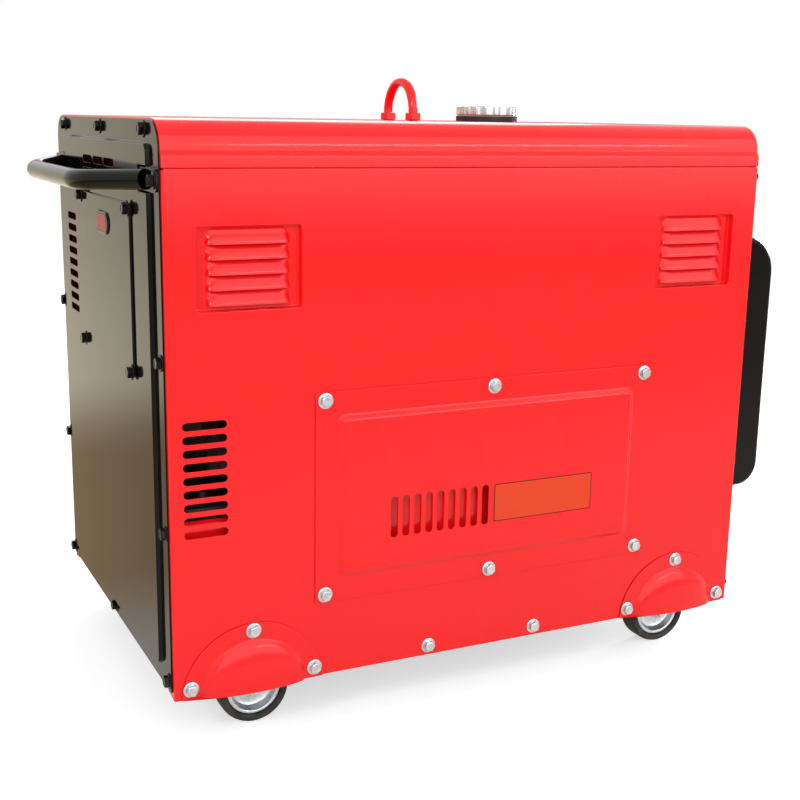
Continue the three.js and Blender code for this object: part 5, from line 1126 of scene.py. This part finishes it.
panel = Plate(CONTROL.outline(6, -12))
panel.cut(circle(METER_X, ROW_Z, 26.3, 48))
panel.cut(circle(KEY_X, ROW_Z, 10.3, 32))
panel.cut(Area(BREAKER_X, ROW_Z, 36.6, 70.6).outline(0.6))
for x, z in SOCKETS:
    panel.cut(circle(x, z, 25.3, 48))
finish("control_plate", panel.mesh("y", 1, CONTROL_FACE), GREY, nodes=["control_panel"], thick=2.0)
screws = bmesh.new()
for a in (-1, 0, 1):
    for b in (-1, 1):
        x, z = CONTROL.u + a * (CONTROL.width / 2 - 9), CONTROL.v + b * (CONTROL.height / 2 - 9)
        lathe(screws, "y", x, z, SCREW, 32, base=CONTROL_FACE)
finish("control_screws", screws, ZINC)

METER, METER_RISE, DIAL_DEPTH = Area(METER_X, ROW_Z, 64, 64), 6.0, 4.0
meter = Plate(METER.outline(5))
meter.steps(lambda inset: METER.outline(5 - inset, inset),
            ((0.15, 3.0), (0.35, 4.8), (0.8, 5.6), (1.5, METER_RISE)))
meter.press(lambda inset: METER.outline(max(3 - inset, 0.5), 5 + inset), METER_RISE, -DIAL_DEPTH, 0.4, 0.3)
finish("voltmeter_bezel", meter.mesh("y", 1, ON_PANEL), PLASTIC, nodes=["voltmeter"], thick=1.2)
meter_body = bmesh.new()
lathe(meter_body, "y", METER_X, ROW_Z, [(25, -34), (26, -33), (26, -0.2)], base=ON_PANEL)
finish("voltmeter_body", meter_body, PLASTIC)
dial = bmesh.new()
prism(dial, "y", METER.outline(2, 5.8), ON_PANEL + 1.9, ON_PANEL + 2.15)
finish("voltmeter_dial", dial, DIAL)
PIVOT = Vector((METER_X, ROW_Z - 14))
ticks = bmesh.new()
for k in range(21):
    angle = math.radians(45 + 4.5 * k)
    along, across = Vector((math.cos(angle), math.sin(angle))), Vector((-math.sin(angle), math.cos(angle)))
    reach, width = (30.5, 0.5) if k % 5 == 0 else (32.6, 0.25)
    corners = ((reach, -width), (35, -width), (35, width), (reach, width))
    tick = [tuple(PIVOT + along * r + across * w) for r, w in corners]
    prism(ticks, "y", tick, ON_PANEL + 2.1, ON_PANEL + 2.25)
finish("voltmeter_ticks", ticks, PLASTIC)
post = bmesh.new()
lathe(post, "y", *PIVOT, [(3.4, 2.1), (3.4, 2.7), (2, 2.95)], 28, base=ON_PANEL)
finish("voltmeter_post", post, PLASTIC)

TOGGLE_AXIS = Vector((ON_PANEL - 2, ROW_Z))
TOGGLE_LEAN = 0.35
LEVER = ((0, -2.5), (13.6, -2.3), (14.7, -1.5), (15, 0), (14.7, 1.5), (13.6, 2.3), (0, 2.5))
toggle = bmesh.new()
lathe(toggle, "x", *TOGGLE_AXIS, [(4.6, -5), (5, -4.6), (5, 4.6), (4.6, 5)], 40, base=BREAKER_X)
run = Vector((math.cos(TOGGLE_LEAN), -math.sin(TOGGLE_LEAN)))
rise = Vector((math.sin(TOGGLE_LEAN), math.cos(TOGGLE_LEAN)))
lever = [tuple(TOGGLE_AXIS + run * a + rise * b) for a, b in LEVER]
prism(toggle, "x", lever, BREAKER_X - 4.9, BREAKER_X + 4.9)
finish("breaker_toggle_lever", toggle, PLASTIC, nodes=["breaker_toggle"], bevel=0.3)

switch = bmesh.new()
tube_of(switch, "y", KEY_X, ROW_Z, [
    (3.5, -13), (3.5, 4.6), (4.0, 5), (9.4, 5), (10.2, 4.2), (12.2, 3.6), (13, 2.6), (13, 0.4), (12.6, 0),
    (10, -0.2), (10, -13)], 56, base=ON_PANEL)
finish("key_switch_barrel", switch, CHROME, nodes=["key_switch"])

block_base = bmesh.new()
prism(block_base, "y", Area(TERMINAL_X, TERMINAL_Z, 46, 24).outline(4), ON_PANEL, ON_PANEL + 4)
finish("terminal_base", block_base, PLASTIC, nodes=["terminal_block"], bevel=0.6)
for side, paint, name in ((-1, REDPLASTIC, "positive"), (1, PLASTIC, "negative")):
    knob = bmesh.new()
    lathe(knob, "y", TERMINAL_X + side * 11, TERMINAL_Z, KNOB, 72, base=ON_PANEL,
          wave=lambda k, a: 0.35 * math.cos(12 * a) if k in (1, 2) else 0.0)
    finish("terminal_knob_" + name, knob, paint, angle=60)

for node, material, bevel in (
        ("voltmeter_needle", REDPLASTIC, 0.12), ("breaker", WHITE, 0.6), ("ignition_key", ZINC, 0.4),
        ("socket_upper", BLUE, 0.4), ("socket_lower", BLUE, 0.4), ("socket_lid_upper", BLUE, 0.7),
        ("socket_lid_lower", BLUE, 0.7), ("fuel_tank", STEEL, 2.0), ("lifting_frame", BLACK, 1.6),
        ("base_tray", BLACK, 0.6), ("engine_block", CAST, 1.2), ("cylinder_head", CAST, 1.2),
        ("crankshaft", STEEL, 0.8), ("flywheel_fan", STEEL, 0.8), ("alternator_housing", CAST, 1.2),
        ("alternator_rotor", STEEL, 0.8), ("muffler", EXHAUST, 2.0), ("air_filter", PLASTIC, 2.0),
        ("battery", PLASTIC, 1.5), ("engine_mount_front", RUBBER, 1.0), ("engine_mount_rear", RUBBER, 1.0),
        ("alternator_mount_front", RUBBER, 1.0), ("alternator_mount_rear", RUBBER, 1.0)):
    refined(node, material, bevel)


# ---- Camera, light, floor -----------------------------------------------------------------
CAMERA_PLACE = (-735.6, -1530.1, 645.0)
CAMERA_YAW, CAMERA_PITCH, CAMERA_ROLL = 26.0616, 12.8269, 0.98009
CAMERA_LENS = 56.34
AMBIENT = 0.62
FLOOR_SHADE, FLOOR_GLOW, FLOOR_HALF = 0.72, 0.58, 7.0
PLAIN_WHITE = (1, 1, 1, 1)
WALL_LEFT, WALL_RIGHT = (1.0, 0.91, 0.70, 1), (0.34, 0.17, 0.13, 1)
# What a glossy surface sees of the floor, by distance along y: pale in front, warm behind
FLOOR_SEEN_IN_GLOSS = (
    (-2.2, (0.5, 0.44, 0.4)), (-0.4, (0.85, 0.78, 0.72)), (0.0, (0.8, 0.74, 0.66)),
    (0.35, (0.45, 0.33, 0.19)), (1.0, (0.45, 0.33, 0.19)), (1.9, (1.0, 0.91, 0.70)))


def camera():
    yaw, pitch, roll = (math.radians(a) for a in (CAMERA_YAW, CAMERA_PITCH, CAMERA_ROLL))
    right = Vector((math.cos(yaw), -math.sin(yaw), 0))
    forward = Vector((math.sin(yaw) * math.cos(pitch), math.cos(yaw) * math.cos(pitch), -math.sin(pitch)))
    up = right.cross(forward)
    tilted_right = right * math.cos(roll) + up * math.sin(roll)
    tilted_up = up * math.cos(roll) - right * math.sin(roll)
    turn = Matrix((tilted_right, tilted_up, -forward)).transposed()
    data = bpy.data.cameras.new("photo_camera")
    data.lens = CAMERA_LENS
    data.sensor_width = 36
    data.clip_start = 0.01
    made = bpy.data.objects.new("photo_camera", data)
    made.matrix_world = Matrix.Translation(world(*CAMERA_PLACE)) @ turn.to_4x4()
    bpy.context.scene.collection.objects.link(made)
    bpy.context.scene.camera = made


def is_ray(tree, kind):
    return add_node(tree, "LightPath", {}, "Is " + kind + " Ray")


def background_rays(tree):
    """1 where a ray comes from the camera, or through a reflection or glass."""
    total = is_ray(tree, "Camera")
    for kind in ("Glossy", "Transmission"):
        total = add_node(tree, "Math", {0: total, 1: is_ray(tree, kind)}, operation="MAXIMUM")
    return total


def product(tree, first, second):
    return add_node(tree, "Math", {0: first, 1: second}, operation="MULTIPLY")


def ramp_between(tree, value, start, end):
    """0 at the first value and 1 at the second, smooth between."""
    inputs = {"Value": value, "From Min": start, "From Max": end}
    return add_node(tree, "MapRange", inputs, "Result", interpolation_type="SMOOTHSTEP")


def surroundings():
    studio = bpy.data.worlds.new("studio")
    bpy.context.scene.world = studio
    studio.use_nodes = True
    tree = studio.node_tree
    background = tree.nodes["Background"]
    inputs = {"Value": background_rays(tree), "To Min": AMBIENT, "To Max": 1.0}
    tree.links.new(add_node(tree, "MapRange", inputs, "Result"), background.inputs["Strength"])
    direction = add_node(tree, "TexCoord", {}, "Generated")
    x, y, z = (add_node(tree, "SeparateXYZ", {"Vector": direction}, axis) for axis in "XYZ")
    wall = mix_colours(tree, ramp_between(tree, x, -0.25, 0.25), WALL_LEFT, WALL_RIGHT)
    behind = product(tree, is_ray(tree, "Glossy"), ramp_between(tree, y, 0.1, 0.5))
    low_behind = product(tree, behind, ramp_between(tree, z, 0.16, 0.04))
    tree.links.new(mix_colours(tree, low_behind, PLAIN_WHITE, wall), background.inputs["Color"])


def lamp(name, place, target, size, power):
    data = bpy.data.lights.new(name, "AREA")
    data.shape = "RECTANGLE"
    data.size, data.size_y = size
    data.energy = power
    made = bpy.data.objects.new(name, data)
    made.location = place
    made.rotation_euler = (Vector(target) - Vector(place)).to_track_quat("-Z", "Y").to_euler()
    bpy.context.scene.collection.objects.link(made)


def floor_material():
    """White for the camera, tinted by place in reflections, and it keeps the object's shadow."""
    material = bpy.data.materials.new("pale_floor")
    material.use_nodes = True
    tree = material.node_tree
    place = add_node(tree, "TexCoord", {}, "Object")
    y = add_node(tree, "SeparateXYZ", {"Vector": place}, "Y")
    span = {"Value": y, "From Min": -FLOOR_HALF, "From Max": FLOOR_HALF}
    across = add_node(tree, "MapRange", span, "Result")
    tint = add_node(tree, "ValToRGB", {"Fac": across}, "Color")
    ramp = tint.node.color_ramp
    ramp.interpolation = "EASE"
    for distance, colour in FLOOR_SEEN_IN_GLOSS:
        stop = ramp.elements.new((distance + FLOOR_HALF) / (2 * FLOOR_HALF))
        stop.color = (*colour, 1)
    ramp.elements.remove(ramp.elements[0])
    ramp.elements.remove(ramp.elements[-1])
    seen = mix_colours(tree, is_ray(tree, "Glossy"), PLAIN_WHITE, tint)
    diffuse = tree.nodes["Principled BSDF"]
    diffuse.inputs["Roughness"].default_value = 0.9
    diffuse.inputs["Specular IOR Level"].default_value = 0.1
    tree.links.new(mix_colours(tree, FLOOR_SHADE, (0, 0, 0, 1), seen), diffuse.inputs["Base Color"])
    strength = product(tree, background_rays(tree), FLOOR_GLOW)
    glow = add_node(tree, "Emission", {"Color": seen, "Strength": strength})
    both = add_node(tree, "AddShader", {0: diffuse.outputs[0], 1: glow})
    tree.links.new(both, tree.nodes["Material Output"].inputs["Surface"])
    return material


def studio_floor():
    bm = bmesh.new()
    corners = ((-1, -1), (1, -1), (1, 1), (-1, 1))
    bm.faces.new([bm.verts.new((x * FLOOR_HALF, y * FLOOR_HALF, 0)) for x, y in corners])
    new_object("studio_floor", bm, floor_material())


camera()
surroundings()
lamp("key", (0.6, -3.4, 2.0), (0, 0, 0.35), (6.0, 3.6), 74)
lamp("left_strip", (-2.4, -1.9, 1.9), (-0.2, 0, 0.4), (0.22, 0.7), 26)
lamp("top_strip", (1.3, -2.6, 1.5), (0.1, 0, 0.5), (1.6, 0.1), 6)
lamp("right_strip", (2.5, 0.9, 1.0), (0.3, 0, 0.4), (0.3, 0.9), 34)
lamp("rear_fill", (1.2, 3.0, 2.4), (0, 0, 0.35), (2.4, 2.0), 40)
studio_floor()

# ---- CAD nodes that stay ------------------------------------------------------------------
slots = {row["node"]: row["material_slot"] for row in frame["record"]["subparts"]}
for node, obj in frame["nodes"].items():
    if not obj.hide_render:
        material = FINISH.get(slots.get(node), GREY)
        if obj.data.materials:
            for index in range(len(obj.data.materials)):
                obj.material_slots[index].material = material
        else:
            obj.data.materials.append(material)

bpy.context.scene.view_settings.view_transform = "Standard"
